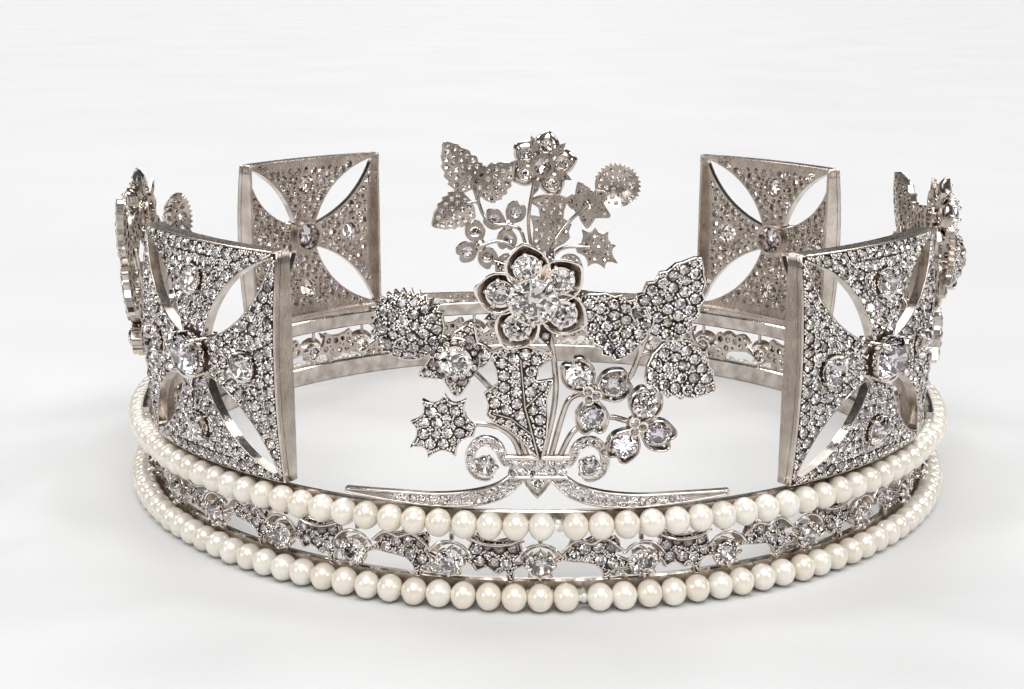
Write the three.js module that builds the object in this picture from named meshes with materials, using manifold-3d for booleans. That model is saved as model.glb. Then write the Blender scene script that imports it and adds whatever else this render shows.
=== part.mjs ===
// A jewelled circlet: two strings of pearls on a pierced band, four crosses and four flower sprays.
// Millimetres, +Z up, standing on z = 0. The front is towards -Y.
import * as THREE from "three";
import { mergeVertices } from "three/addons/utils/BufferGeometryUtils.js";
import Module from "manifold-3d";

const wasm = await Module();
wasm.setup();

// Rails of the band
const RING_STEPS = 48;
const RAIL_INNER = 88.2;
const RAIL_OUTER = 89.6;
const LOWER_RAIL_TOP = 5.0;
const UPPER_RAIL_BOTTOM = 14.5;
const UPPER_RAIL_TOP = 18.3;
const SEAT_GAP = 0.3;

// Pearls, strung round the outside of the rails
const PEARL_COUNT = 124;
const PEARL_SIDES = 6;
const PEARL_RADIUS = 2.6;
const KNOT_RADIUS = 0.8;
const PEARL_RING = RAIL_OUTER + SEAT_GAP + PEARL_RADIUS;
const LOWER_PEARL_HEIGHT = 2.7;
const UPPER_PEARL_HEIGHT = 16.4;

// Frieze: each repeat has a stone, a leaf scroll, a second stone and a hanging leaf
const FRIEZE_REPEATS = 16;
const FRIEZE_REPEAT_DEG = 360 / FRIEZE_REPEATS;
const FRIEZE_START_DEG = 6.4;
const SCROLL_GAP_DEG = 12.0;
const FRIEZE_RADIUS = 88.5;
const FRIEZE_THICKNESS = 0.85;
const FRIEZE_STONE = { radius: 2.4, height: 8.3, depth: 1.5 };
const COLLET = { radius: 2.9, foot: 2.3, base: 0.4, rim: 2.3 };
const CAP = { post: 0.6, waist: 2.2, bottom: 9.7, shoulder: 11.9 };
const RAIL_BITE = 0.7;
const FOOT = LOWER_RAIL_TOP - RAIL_BITE;
const LEAF_SCROLL = [
  [-8.0, 7.6], [-2.4, 8.4], [0.8, 7.6], [2.4, FOOT], [3.4, FOOT], [3.6, 6.6],
  [8.0, 7.6], [3.8, 9.4], [4.6, 12.8], [-3.2, 13.0],
];
const HANGING_LEAF = [
  [-6.8, 8.0], [-3.6, 6.8], [1.2, 6.4], [2.2, FOOT], [3.2, FOOT],
  [3.4, 7.0], [6.8, 8.0], [3.6, 13.2], [0.0, 12.2], [-3.4, 13.2],
];

// Crosses: square plates with a rim behind them, bent with the ring and raised towards their middle height,
// with a lens-shaped opening on each diagonal
const CROSS_HALF_WIDTH = 22.0;
const CROSS_HEIGHT = 44.0;
const CROSS_INNER = 89.0;
const CROSS_BACK = -0.5;
const CROSS_PLATE_BACK = 1.2;
const CROSS_FRONT = 3.1;
const CROSS_RIM = 0.9;
const HOLLOW_CLEARANCE = 1.0;
const CROSS_DOME = 1.7;
const CROSS_EDGE_STEPS = 4;
const CROSS_SIDE_STEPS = 4;
const CROSS_FOOT = { half: 18.0, height: 0.9, bite: 0.5, thickness: 0.6 };
const CROSS_MIDDLE = UPPER_RAIL_TOP + SEAT_GAP + CROSS_FOOT.height + CROSS_HEIGHT / 2;
const LENS = { innerTip: 3.2, outerTip: 20.8, width: 6.6, steps: 3 };
const CROSS_SETTING_BASE = CROSS_PLATE_BACK + 0.35;
const CROSS_COLLET = { radius: 4.9, foot: 4.2, rim: CROSS_FRONT + 1.8 };
const CROSS_STONE = { radius: 4.5, depth: 2.4 };
const ARM_COLLET = { radius: 3.0, reach: 14.6, rim: CROSS_FRONT + 0.9 };

// Sprays: x along the arc from the spray's middle, y up from the upper rail; bent less than the ring
const SPRAY_RADIUS = 88.9;
const SPRAY_BEND = 150;
const SPRAY_LEAN = Math.tan(THREE.MathUtils.degToRad(3));
const STEM = { width: 1.1, back: -0.6, front: 0.6, steps: 3 };
const LEAF = { back: 0.2, front: 1.5 };
const LEAF_STATIONS = [
  { along: 0.12, half: 0.42 },
  { along: 0.4, half: 0.5 },
  { along: 0.72, half: 0.36 },
];
const LEAVES = [
  { part: "rose leaf by the flower", base: [17.6, 31.6], tip: [7.2, 40.4], width: 10.2 },
  { part: "rose leaf on top", base: [18.8, 33.4], tip: [27.4, 46.9], width: 10.6 },
  { part: "rose leaf outside", base: [19.8, 29.6], tip: [31.2, 22.4], width: 10.0 },
];
const ROSE = { x: -0.9, y: 40.0, hub: 4.4, foot: 3.5, back: -0.4, front: 4.6 };
const ROSE_STONE = { radius: 3.9, depth: 2.2 };
const PETALS = { angles: [37, 100, 170, 242, 333], tip: 9.4, notch: 6.2, spread: 15 };
const PETAL_LAYER = { back: 0.5, front: 3.4 };
const THISTLE_HEAD = { x: -22.4, y: 34.4, radius: 4.5, foot: 6.4, back: 0.0, front: 3.6 };
const THISTLE_CUP = { x: -14.0, y: 28.7, radius: 3.2, foot: 2.9, back: -0.2, front: 3.0 };
const SEPALS = { angles: [12, 68, 146, 207, 269], tip: 6.8, notch: 2.6, spread: 0 };
const SHAMROCKS = [
  { x: 9.1, y: 22.5, angles: [22, 121, 274] },
  { x: 17.3, y: 16.5, angles: [71, 239, 334] },
];
const SHAMROCK_LOBES = { tip: 7.3, notch: 1.5, spread: 24 };
const SHAMROCK_LAYER = { back: 0.2, front: 2.4 };
const BIG_LEAF_LAYER = { back: 0.8, front: 1.9 };
const BIG_LEAF = [
  [0.4, 9.6], [-7.8, 16.8], [-9.4, 22.6], [-7.4, 24.4], [-8.6, 30.0], [-5.0, 31.3],
  [-1.6, 31.2], [2.2, 29.6], [0.4, 27.0], [2.2, 24.6], [1.8, 18.0],
];
const SPIKY_LEAF = { x: -17.2, y: 16.1, tip: 6.3, notch: 3.7, spread: 0 };
const SPIKES = [48, 98, 143, 190, 232, 272, 318];
const STEMS = [
  { part: "rose stem", way: [[0.8, 9.6], [2.9, 20.0], [2.9, 27.0], [1.4, 36.0]] },
  { part: "upper shamrock stem", way: [[2.2, 9.6], [4.2, 17.6], [5.8, 21.4], [9.1, 22.5]] },
  { part: "lower shamrock stem", way: [[3.6, 9.6], [6.6, 15.4], [11.8, 17.8], [17.3, 16.5]] },
  { part: "rose leaf stem", way: [[9.4, 22.6], [13.4, 23.0], [16.2, 25.4], [17.6, 29.0]] },
  { part: "stalk of the leaf by the flower", way: [[17.6, 29.0], [17.8, 30.4], [17.2, 32.4]] },
  { part: "stalk of the top leaf", way: [[17.6, 29.0], [18.4, 31.4], [19.4, 34.6]] },
  { part: "stalk of the outside leaf", way: [[17.6, 29.0], [18.8, 29.6], [20.8, 29.0]] },
  { part: "thistle stem", way: [[-1.6, 9.6], [-4.6, 17.6], [-8.6, 23.4], [-14.0, 28.7]] },
  { part: "spiky leaf stem", way: [[-2.8, 9.6], [-4.6, 14.0], [-8.4, 16.2], [-15.0, 16.2]] },
];
const BUCKLE = { width: 11.2, bottom: 6.5, top: 10.5, back: -0.8, front: 2.0 };
const DROP = { width: 4.6, top: 7.2, tip: 2.8, back: -0.6, front: 1.4 };
const SCROLL = { x: 9.4, y: 9.4, rise: [5.0, 9.6], open: 4.0, shut: 2.6, narrow: 0.7, half: 0.5, steps: 7 };
const SCROLL_TURN = { from: 0.95 * Math.PI, to: -0.8 * Math.PI };
const SCROLL_LAYER = { back: -0.5, front: 0.9 };
const ARM_ROWS = [
  { x: 2.6, y: 7.4, half: 1.0 },
  { x: 6.6, y: 3.8, half: 1.4 },
  { x: 11.5, y: 2.2, half: 1.4 },
  { x: 18.0, y: 1.5, half: 1.2 },
  { x: 25.5, y: 1.8, half: 1.0 },
  { x: 35.4, y: 2.3, half: 0.8 },
];
const ARM_LAYER = { back: -0.7, front: 0.9 };

// How the flat pieces of each kind are bent and placed
const ON_BAND = { radius: FRIEZE_RADIUS };
const CROSS_SEAT = { radius: CROSS_INNER, foot: CROSS_MIDDLE };
const SPRAY_SEAT = { radius: SPRAY_RADIUS, bend: SPRAY_BEND, foot: UPPER_RAIL_TOP, lean: SPRAY_LEAN };

// Places round the ring, in degrees from the front
const CROSS_PLACES = [
  { place: "front_right", degrees: 45 },
  { place: "back_right", degrees: 135 },
  { place: "back_left", degrees: 225 },
  { place: "front_left", degrees: 315 },
];
const SPRAY_PLACES = [
  { place: "front", degrees: 0 },
  { place: "right", degrees: 90 },
  { place: "back", degrees: 180 },
  { place: "left", degrees: 270 },
];

// Faceting of the small round parts
const DISC_SIDES = 6;
const BIG_DISC_SIDES = 8;
const STONE_TABLE = 0.6;
const MERGE_DISTANCE = 1e-4;

const silver = new THREE.MeshStandardMaterial({ color: 0xc9c4bc, roughness: 0.25, metalness: 1.0 });
const pearl = new THREE.MeshStandardMaterial({ color: 0xf3ead9, roughness: 0.3, metalness: 0.0 });
const crystal = new THREE.MeshStandardMaterial({ color: 0xf4f4f8, roughness: 0.05, metalness: 0.0 });

// Triangles with three different corners: those on the axis of a turned shape lose one
function wholeTriangles(index) {
  const kept = [];
  for (let i = 0; i < index.length; i += 3) {
    const [a, b, c] = [index[i], index[i + 1], index[i + 2]];
    if (a !== b && b !== c && c !== a) kept.push(a, b, c);
  }
  return Uint32Array.from(kept);
}

// Closed solid of a geometry
function solid(geometry) {
  const bare = geometry.clone();
  bare.deleteAttribute("normal");
  bare.deleteAttribute("uv");
  const merged = mergeVertices(bare, MERGE_DISTANCE);
  const triVerts = wholeTriangles(merged.index.array);
  const vertProperties = Float32Array.from(merged.attributes.position.array);
  return new wasm.Manifold(new wasm.Mesh({ numProp: 3, vertProperties, triVerts }));
}

function joined(geometries) {
  return geometries.map(solid).reduce((whole, piece) => whole.add(piece));
}

function meshOf(body, name, material) {
  const { vertProperties, triVerts } = body.getMesh();
  const geometry = new THREE.BufferGeometry();
  geometry.setAttribute("position", new THREE.BufferAttribute(vertProperties, 3));
  geometry.setIndex(new THREE.BufferAttribute(triVerts, 1));
  geometry.computeVertexNormals();
  const mesh = new THREE.Mesh(geometry, material);
  mesh.name = name;
  return mesh;
}

// Bends a flat piece with the ring, or less than it: x runs along the arc, y up, z outwards
function wrapped(geometry, { radius, bend = radius, foot = 0, lean = 0 }) {
  const place = geometry.attributes.position;
  for (let i = 0; i < place.count; i += 1) {
    const angle = place.getX(i) / bend;
    const reach = bend + place.getZ(i) + place.getY(i) * lean;
    const out = reach * Math.cos(angle) + radius - bend;
    place.setXYZ(i, reach * Math.sin(angle), -out, place.getY(i) + foot);
  }
  return geometry;
}

function turned(geometry, degrees) {
  return geometry.rotateZ(THREE.MathUtils.degToRad(degrees));
}

function outline(points) {
  return new THREE.Shape(points.map(([x, y]) => new THREE.Vector2(x, y)));
}

// Flat plate of a shape, between two depths
function plate(shape, { back, front }, curveSegments = 1) {
  const settings = { depth: front - back, bevelEnabled: false, curveSegments };
  return new THREE.ExtrudeGeometry(shape, settings).translate(0, 0, back);
}

// Round boss that faces outwards, between two depths
function boss({ x, y, radius, foot, back, front }, sides) {
  const body = new THREE.CylinderGeometry(radius, foot, front - back, sides);
  return body.rotateX(Math.PI / 2).translate(x, y, (back + front) / 2);
}

// Outline of a strip that follows its rows, each with half its width
function strip(rows) {
  const edge = (side) =>
    rows.map((row, i) => {
      const before = rows[Math.max(i - 1, 0)];
      const after = rows[Math.min(i + 1, rows.length - 1)];
      const run = Math.hypot(after.x - before.x, after.y - before.y);
      const offset = (side * row.half) / run;
      return [row.x - (after.y - before.y) * offset, row.y + (after.x - before.x) * offset];
    });
  return outline([...edge(-1), ...edge(1).reverse()]);
}

function ring(inner, outer, bottom, top) {
  const corners = [[inner, bottom], [outer, bottom], [outer, top], [inner, top], [inner, bottom]];
  const profile = corners.map(([reach, height]) => new THREE.Vector2(reach, height));
  return new THREE.LatheGeometry(profile, RING_STEPS).rotateX(Math.PI / 2);
}

// Pearls joined along their thread: wide at each middle and narrow at each knot
function pearlString(height) {
  const steps = PEARL_COUNT * 2;
  const geometry = new THREE.TorusGeometry(PEARL_RING, 1, PEARL_SIDES, steps);
  const place = geometry.attributes.position;
  for (let i = 0; i < place.count; i += 1) {
    const size = (i % (steps + 1)) % 2 === 0 ? PEARL_RADIUS : KNOT_RADIUS;
    const flat = Math.hypot(place.getX(i), place.getY(i));
    const stretch = (PEARL_RING + (flat - PEARL_RING) * size) / flat;
    place.setXYZ(i, place.getX(i) * stretch, place.getY(i) * stretch, place.getZ(i) * size + height);
  }
  return solid(geometry);
}

// Faceted stone that stands on its girdle, with its table facing outwards
function stone({ radius, depth }, back, sides) {
  const levels = [[0, 0], [radius, 0], [radius * STONE_TABLE, depth], [0, depth]];
  const profile = levels.map(([reach, at]) => new THREE.Vector2(reach, at));
  return new THREE.LatheGeometry(profile, sides).rotateX(Math.PI / 2).translate(0, 0, back);
}

// Arched cap above a frieze stone, hung from the upper rail by a post
function cap() {
  const right = [
    [CAP.waist, CAP.bottom],
    [CAP.waist, CAP.shoulder],
    [CAP.post, UPPER_RAIL_BOTTOM - RAIL_BITE],
    [CAP.post, UPPER_RAIL_BOTTOM + RAIL_BITE],
  ];
  const left = right.map(([x, y]) => [-x, y]).reverse();
  return friezePlate([...right, ...left]);
}

function friezePlate(points) {
  return plate(outline(points), { back: 0, front: FRIEZE_THICKNESS });
}

function collet() {
  const { radius, foot, base, rim } = COLLET;
  return boss({ x: 0, y: FRIEZE_STONE.height, radius, foot, back: base, front: rim }, DISC_SIDES);
}

function scrollAngles() {
  return Array.from({ length: FRIEZE_REPEATS }, (_, i) => FRIEZE_START_DEG + i * FRIEZE_REPEAT_DEG);
}

function friezeStoneAngles() {
  return scrollAngles().flatMap((middle) => [middle - SCROLL_GAP_DEG / 2, middle + SCROLL_GAP_DEG / 2]);
}

function bandSolid() {
  const onBand = (piece, degrees) => turned(wrapped(piece, ON_BAND), degrees);
  return joined([
    ring(RAIL_INNER, RAIL_OUTER, 0, LOWER_RAIL_TOP),
    ring(RAIL_INNER, RAIL_OUTER, UPPER_RAIL_BOTTOM, UPPER_RAIL_TOP),
    ...friezeStoneAngles().flatMap((angle) => [onBand(cap(), angle), onBand(collet(), angle)]),
    ...scrollAngles().flatMap((angle) => [
      onBand(friezePlate(LEAF_SCROLL), angle),
      onBand(friezePlate(HANGING_LEAF), angle + FRIEZE_REPEAT_DEG / 2),
    ]),
  ]);
}

// A frieze stone sits just clear of its collet
function friezeStone() {
  const cut = stone(FRIEZE_STONE, COLLET.rim + SEAT_GAP, DISC_SIDES);
  return solid(wrapped(cut.translate(0, FRIEZE_STONE.height, 0), ON_BAND));
}

// Lens-shaped opening on one diagonal of a cross
function lens(across, up) {
  const { innerTip, outerTip, width } = LENS;
  const near = (innerTip + outerTip) / 2 - width / Math.SQRT2;
  const far = (innerTip + outerTip) / 2 + width / Math.SQRT2;
  const path = new THREE.Path();
  path.moveTo(across * innerTip, up * innerTip);
  path.quadraticCurveTo(across * far, up * near, across * outerTip, up * outerTip);
  path.quadraticCurveTo(across * near, up * far, across * innerTip, up * innerTip);
  return path;
}

// Rectangle with its long edges divided, so that it bends with the ring; its sides may be divided too
function bendingRectangle(halfWidth, bottom, top, sideSteps = 1) {
  const steps = Array.from({ length: CROSS_EDGE_STEPS + 1 }, (_, i) => (2 * i) / CROSS_EDGE_STEPS - 1);
  const rises = Array.from({ length: sideSteps - 1 }, (_, i) => bottom + ((top - bottom) * (i + 1)) / sideSteps);
  const low = steps.map((t) => [t * halfWidth, bottom]);
  const right = rises.map((y) => [halfWidth, y]);
  const high = steps.map((t) => [-t * halfWidth, top]);
  const left = rises.map((y) => [-halfWidth, y]).reverse();
  return outline([...low, ...right, ...high, ...left]);
}

// Raises the plate of a cross towards its middle height, and leaves the back of its rim
function domed(geometry) {
  const place = geometry.attributes.position;
  for (let i = 0; i < place.count; i += 1) {
    const height = Math.min(Math.abs(place.getY(i)) / (CROSS_HEIGHT / 2), 1);
    const share = Math.min(Math.max(place.getZ(i) / CROSS_PLATE_BACK, 0), 1);
    place.setZ(i, place.getZ(i) + CROSS_DOME * (1 - height ** 2) * share);
  }
  return geometry;
}

function crossPlate() {
  const shape = bendingRectangle(CROSS_HALF_WIDTH, -CROSS_HEIGHT / 2, CROSS_HEIGHT / 2, CROSS_SIDE_STEPS);
  shape.holes = [lens(1, 1), lens(-1, 1), lens(-1, -1), lens(1, -1)];
  return plate(shape, { back: CROSS_BACK, front: CROSS_FRONT }, LENS.steps);
}

// Hollow behind the plate of a cross, inside its rim
function crossHollow() {
  const side = CROSS_HEIGHT - 2 * CROSS_RIM;
  const back = CROSS_BACK - HOLLOW_CLEARANCE;
  const depth = CROSS_PLATE_BACK - back;
  const body = new THREE.BoxGeometry(side, side, depth, CROSS_EDGE_STEPS, CROSS_SIDE_STEPS);
  return body.translate(0, 0, back + depth / 2);
}

// Thin strip under a cross that stands on the upper rail behind the pearls
function crossFoot() {
  const { half, height, bite, thickness } = CROSS_FOOT;
  const edge = -CROSS_HEIGHT / 2;
  return plate(bendingRectangle(half, edge - height, edge + bite), { back: 0, front: thickness });
}

function crossSettings() {
  const { radius, reach, rim } = ARM_COLLET;
  const layer = { back: CROSS_SETTING_BASE, front: rim };
  const arms = [[1, 0], [0, 1], [-1, 0], [0, -1]].map(([across, up]) =>
    boss({ x: across * reach, y: up * reach, radius, foot: radius, ...layer }, DISC_SIDES),
  );
  const middle = { x: 0, y: 0, ...CROSS_COLLET, back: CROSS_SETTING_BASE, front: CROSS_COLLET.rim };
  return [...arms, boss(middle, BIG_DISC_SIDES)];
}

function crossSolid() {
  const seated = (piece) => wrapped(domed(piece), CROSS_SEAT);
  const shell = solid(seated(crossPlate())).subtract(solid(seated(crossHollow())));
  return shell.add(joined([crossFoot(), ...crossSettings()].map(seated)));
}

function crossStone() {
  const cut = stone(CROSS_STONE, CROSS_COLLET.rim + SEAT_GAP, BIG_DISC_SIDES);
  return solid(wrapped(domed(cut), CROSS_SEAT));
}

// Pointed oval leaf from its base to its tip
function leaf({ base, tip, width }) {
  const [dx, dy] = [tip[0] - base[0], tip[1] - base[1]];
  const length = Math.hypot(dx, dy);
  const point = ({ along, half }, side) => {
    const out = (side * half * width) / length;
    return [base[0] + dx * along + dy * out, base[1] + dy * along - dx * out];
  };
  const right = LEAF_STATIONS.map((row) => point(row, 1));
  const left = LEAF_STATIONS.map((row) => point(row, -1)).reverse();
  return plate(outline([base, ...right, tip, ...left]), LEAF);
}

// Flat flower or leaf with lobes at rising angles: a lobe is pointed, or blunt where it has a spread
function lobed({ x, y, angles, tip, notch, spread }, layer) {
  const at = (degrees, reach) => {
    const turn = THREE.MathUtils.degToRad(degrees);
    return [x + reach * Math.cos(turn), y + reach * Math.sin(turn)];
  };
  const points = angles.flatMap((angle, i) => {
    const next = i + 1 < angles.length ? angles[i + 1] : angles[0] + 360;
    const top = spread > 0 ? [at(angle - spread, tip), at(angle + spread, tip)] : [at(angle, tip)];
    return [...top, at((angle + next) / 2, notch)];
  });
  return plate(outline(points), layer);
}

function stem({ way }) {
  const curve = new THREE.SplineCurve(way.map(([x, y]) => new THREE.Vector2(x, y)));
  const rows = curve.getPoints(STEM.steps).map(({ x, y }) => ({ x, y, half: STEM.width / 2 }));
  return plate(strip(rows), STEM);
}

// Scroll beside the buckle: a strip that rises, turns over and coils in
function scroll(side) {
  const { x, y, rise, open, shut, narrow, half, steps } = SCROLL;
  const coil = Array.from({ length: steps }, (_, i) => {
    const part = i / (steps - 1);
    const angle = SCROLL_TURN.from + (SCROLL_TURN.to - SCROLL_TURN.from) * part;
    const reach = open + (shut - open) * part;
    return { x: side * (x + reach * narrow * Math.cos(angle)), y: y + reach * Math.sin(angle), half };
  });
  return plate(strip([{ x: side * rise[0], y: rise[1], half }, ...coil]), SCROLL_LAYER);
}

function arm(side) {
  return plate(strip(ARM_ROWS.map(({ x, y, half }) => ({ x: side * x, y, half }))), ARM_LAYER);
}

function buckle() {
  const { width, bottom, top, back, front } = BUCKLE;
  const body = new THREE.BoxGeometry(width, top - bottom, front - back);
  const drop = outline([[-DROP.width / 2, DROP.top], [0, DROP.tip], [DROP.width / 2, DROP.top]]);
  return [body.translate(0, (bottom + top) / 2, (back + front) / 2), plate(drop, DROP)];
}

function rose() {
  return [boss({ ...ROSE, radius: ROSE.hub }, BIG_DISC_SIDES), lobed({ ...ROSE, ...PETALS }, PETAL_LAYER)];
}

function thistle() {
  const head = boss(THISTLE_HEAD, BIG_DISC_SIDES);
  const cup = boss(THISTLE_CUP, DISC_SIDES);
  return [head, cup, lobed({ ...THISTLE_CUP, ...SEPALS }, LEAF)];
}

function shamrock(place) {
  return lobed({ ...place, ...SHAMROCK_LOBES }, SHAMROCK_LAYER);
}

function spraySolid() {
  const pieces = [
    ...STEMS.map(stem),
    ...LEAVES.map(leaf),
    plate(outline(BIG_LEAF), BIG_LEAF_LAYER),
    lobed({ ...SPIKY_LEAF, angles: SPIKES }, LEAF),
    ...thistle(),
    ...SHAMROCKS.map(shamrock),
    ...rose(),
    ...buckle(),
    ...[1, -1].map(scroll),
    ...[1, -1].map(arm),
  ];
  return joined(pieces.map((piece) => wrapped(piece, SPRAY_SEAT)));
}

function roseStone() {
  const cut = stone(ROSE_STONE, ROSE.front + SEAT_GAP, BIG_DISC_SIDES).translate(ROSE.x, ROSE.y, 0);
  return solid(wrapped(cut, SPRAY_SEAT));
}

// Copies of a piece round the ring, each a node of its own
function around(group, body, material, prefix, places) {
  for (const { place, degrees } of places) {
    const mesh = meshOf(body, `${prefix}_${place}`, material);
    mesh.rotation.z = THREE.MathUtils.degToRad(degrees);
    group.add(mesh);
  }
}

const friezePlaces = friezeStoneAngles().map((degrees, i) => ({
  place: String(i + 1).padStart(2, "0"),
  degrees,
}));

const circlet = new THREE.Group();
circlet.add(meshOf(bandSolid(), "band", silver));
circlet.add(meshOf(pearlString(LOWER_PEARL_HEIGHT), "lower_pearls", pearl));
circlet.add(meshOf(pearlString(UPPER_PEARL_HEIGHT), "upper_pearls", pearl));
around(circlet, crossSolid(), silver, "cross", CROSS_PLACES);
around(circlet, crossStone(), crystal, "cross_stone", CROSS_PLACES);
around(circlet, spraySolid(), silver, "spray", SPRAY_PLACES);
around(circlet, roseStone(), crystal, "rose_stone", SPRAY_PLACES);
around(circlet, friezeStone(), crystal, "band_stone", friezePlaces);

export default circlet;
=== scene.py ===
# Looks of a jewelled circlet: strung pearls, pierced and paved metal, and cut stones
import math
from dataclasses import dataclass, replace

import bpy
import numpy as np
from mathutils import Matrix, Vector
from mathutils.geometry import delaunay_2d_cdt


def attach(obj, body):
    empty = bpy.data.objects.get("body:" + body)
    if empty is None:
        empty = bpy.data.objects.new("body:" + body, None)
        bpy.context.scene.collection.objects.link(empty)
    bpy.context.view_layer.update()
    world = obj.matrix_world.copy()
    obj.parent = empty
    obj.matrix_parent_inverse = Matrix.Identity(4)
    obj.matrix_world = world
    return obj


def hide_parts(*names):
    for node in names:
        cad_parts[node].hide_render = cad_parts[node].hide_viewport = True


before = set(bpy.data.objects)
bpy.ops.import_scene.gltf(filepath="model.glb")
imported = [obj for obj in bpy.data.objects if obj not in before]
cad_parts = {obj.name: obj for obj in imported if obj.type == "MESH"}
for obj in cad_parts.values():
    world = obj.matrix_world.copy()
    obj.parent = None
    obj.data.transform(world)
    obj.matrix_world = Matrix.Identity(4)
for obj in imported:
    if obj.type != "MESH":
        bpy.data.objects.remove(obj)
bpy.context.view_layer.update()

MM = 0.001
BODY = "root"

# Finishes of a metal piece, in the order of its material slots: polished, satin, a dark silver that paints
# shade between stones and in hollows, and a lighter silver that paints light on hole walls, beads, wires
# and claws
POLISHED, SATIN, PAINTED_SHADE_BED, PAINTED_LIGHT = range(4)

# Places round the ring, in degrees from the front
CROSS_PLACES = {"front_right": 45, "back_right": 135, "back_left": 225, "front_left": 315}
SPRAY_PLACES = {"front": 0, "right": 90, "back": 180, "left": 270}

# Seeds of the random draws
CROSS_SEED = 11
SPRAY_SEED = 23
SCROLL_LEAF_SEED = 31
HANGING_LEAF_SEED = 37
FRIEZE_SETTING_SEED = 41
BAND_SEED = 43
CROSS_STONE_SEED = 61
ROSE_STONE_SEED = 67
FRIEZE_STONE_SEED = 100

# Rails of the band, in millimetres as every size here
RAIL_INNER = 88.2
RAIL_OUTER = 89.6
LOWER_RAIL = (0.0, 5.0)
UPPER_RAIL = (14.5, 18.3)
RAIL_STEPS = 256
RAIL_ROUND = 0.3

# Pearls, and how uneven they are
PEARL_COUNT = 124
PEARL_RADIUS = 2.6
PEARL_ALONG = 2.4
PEARL_RING = 92.5
PEARL_ROWS = {
    "lower": {"height": 2.7, "knot_degrees": 5.2, "seed": 3},
    "upper": {"height": 16.4, "knot_degrees": 2.4, "seed": 5},
}
UNEVEN = {"degrees": 0.03, "size": 0.012, "out": 0.05, "up": 0.04}
KNOT_GAP_DEG = 0.9
KNOT = {"lumps": 5, "radius": 0.62, "spread": 0.25, "tone": 0.9}
THREAD = {"radius": 0.4, "sides": 6}

# Set stones: a little over their plate, with beads between them and a wire round the edge
STONE_GAP = 0.03
STONE_LIFT = 0.08
STONE_TILT = 0.2
BRILLIANT_FROM = 1.5
SEAT_SHARE = 0.86
SEAT_TAPER = 0.08
SEAT_SIDES = 8
BEAD_RADIUS = 0.32
BEAD_GAP = -0.2
BEAD_MARGIN = 0.05
EDGE_WIRE = 0.18
EDGE_SIDES = 5

# Cuts of the stones, as shares of their radius: rings of (reach, height), half the girdle and the tip
BRILLIANT_CUT = {
    "table": (0.56, 0.33), "stars": (0.78, 0.21), "girdle": 0.025, "deep": (0.34, -0.6), "tip": -0.86,
}
PAVING_CUT = {"table": (0.58, 0.34), "tip": -0.85}

# Claw settings: bends of a claw as shares of the stone's radius, and its thickness along it
COLLET = {"wall": 0.45, "lip": 0.25, "sides": 20}
CLAW_REACH = (0.94, 0.8)
CLAW_RISE = (0.08, 0.26, 0.3)
CLAW_TAPER = np.array([0.9, 0.95, 1.05, 1.1, 0.7])

# Frieze between the rails: x along the arc, y up
FRIEZE_REPEATS = 16
FRIEZE_REPEAT_DEG = 360 / FRIEZE_REPEATS
FRIEZE_START_DEG = 6.4
FRIEZE_STONE_DEG = 6.0
FRIEZE_RADIUS = 88.5
FRIEZE_STONE = {"radius": 2.4, "depth": 2.6, "base": 0.3, "foot": 2.2, "claws": 8, "thick": 0.36}
FRIEZE_STONE_HEIGHT = 8.3
FRIEZE_DEPTH = (0.1, 1.3)
FRIEZE_PAVING = (1.15, 0.9, 0.7, 0.5)
SCROLL_LEAF = [
    (-8.4, 7.4), (-5.4, 8.6), (-2.6, 8.3), (0.2, 7.9), (1.9, 6.6), (2.4, 4.6), (3.4, 4.6),
    (3.7, 6.4), (5.6, 6.9), (8.4, 7.2), (6.2, 8.6), (4.4, 9.6), (5.2, 11.4), (4.4, 13.0),
    (2.4, 12.3), (0.6, 13.2), (-1.4, 12.4), (-3.4, 13.2), (-4.4, 11.2), (-5.2, 9.9),
]
HANGING_LEAF = [
    (-7.2, 8.0), (-4.8, 7.9), (-3.6, 6.4), (-1.6, 7.2), (0.4, 6.0), (1.8, 6.6), (2.2, 4.6),
    (3.2, 4.6), (3.5, 6.8), (5.0, 7.6), (7.2, 8.0), (5.4, 9.6), (4.6, 11.6), (4.0, 13.6),
    (2.0, 12.7), (0.0, 12.4), (-2.0, 12.7), (-4.0, 13.6), (-4.6, 11.6), (-5.4, 9.6),
]
SCROLL_BROWS = [
    [(-5.4, 11.0), (-3.0, 13.0), (-0.2, 12.3)],
    [(-0.2, 12.3), (2.4, 13.2), (5.6, 10.8)],
]
HANGING_BROWS = [[(-4.9, 13.3), (-2.4, 12.3), (0.0, 12.0), (2.4, 12.3), (4.9, 13.3)]]
BROW = [(0.0, 2.5), (0.2, 2.35), (-0.9, 0.9), (-1.1, 1.1)]
BROW_WIRE = 0.24
HOOD = {"reach": 4.1, "spread": 64, "steps": 17}
POST = {"bite": 0.4, "below": 2.0, "above": 3.8, "depth": 0.6, "radius": 0.5}
SCROLL_TAIL = [(2.4, 7.6), (3.8, 6.3), (5.8, 5.9), (7.4, 6.2)]
TAIL = {"half": (0.9, 0.6), "depth": (0.2, 1.0), "rim": 0.16}
TAIL_PAVING = {"radius": 0.72, "steps": (2, 6, 10, 14)}

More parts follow.
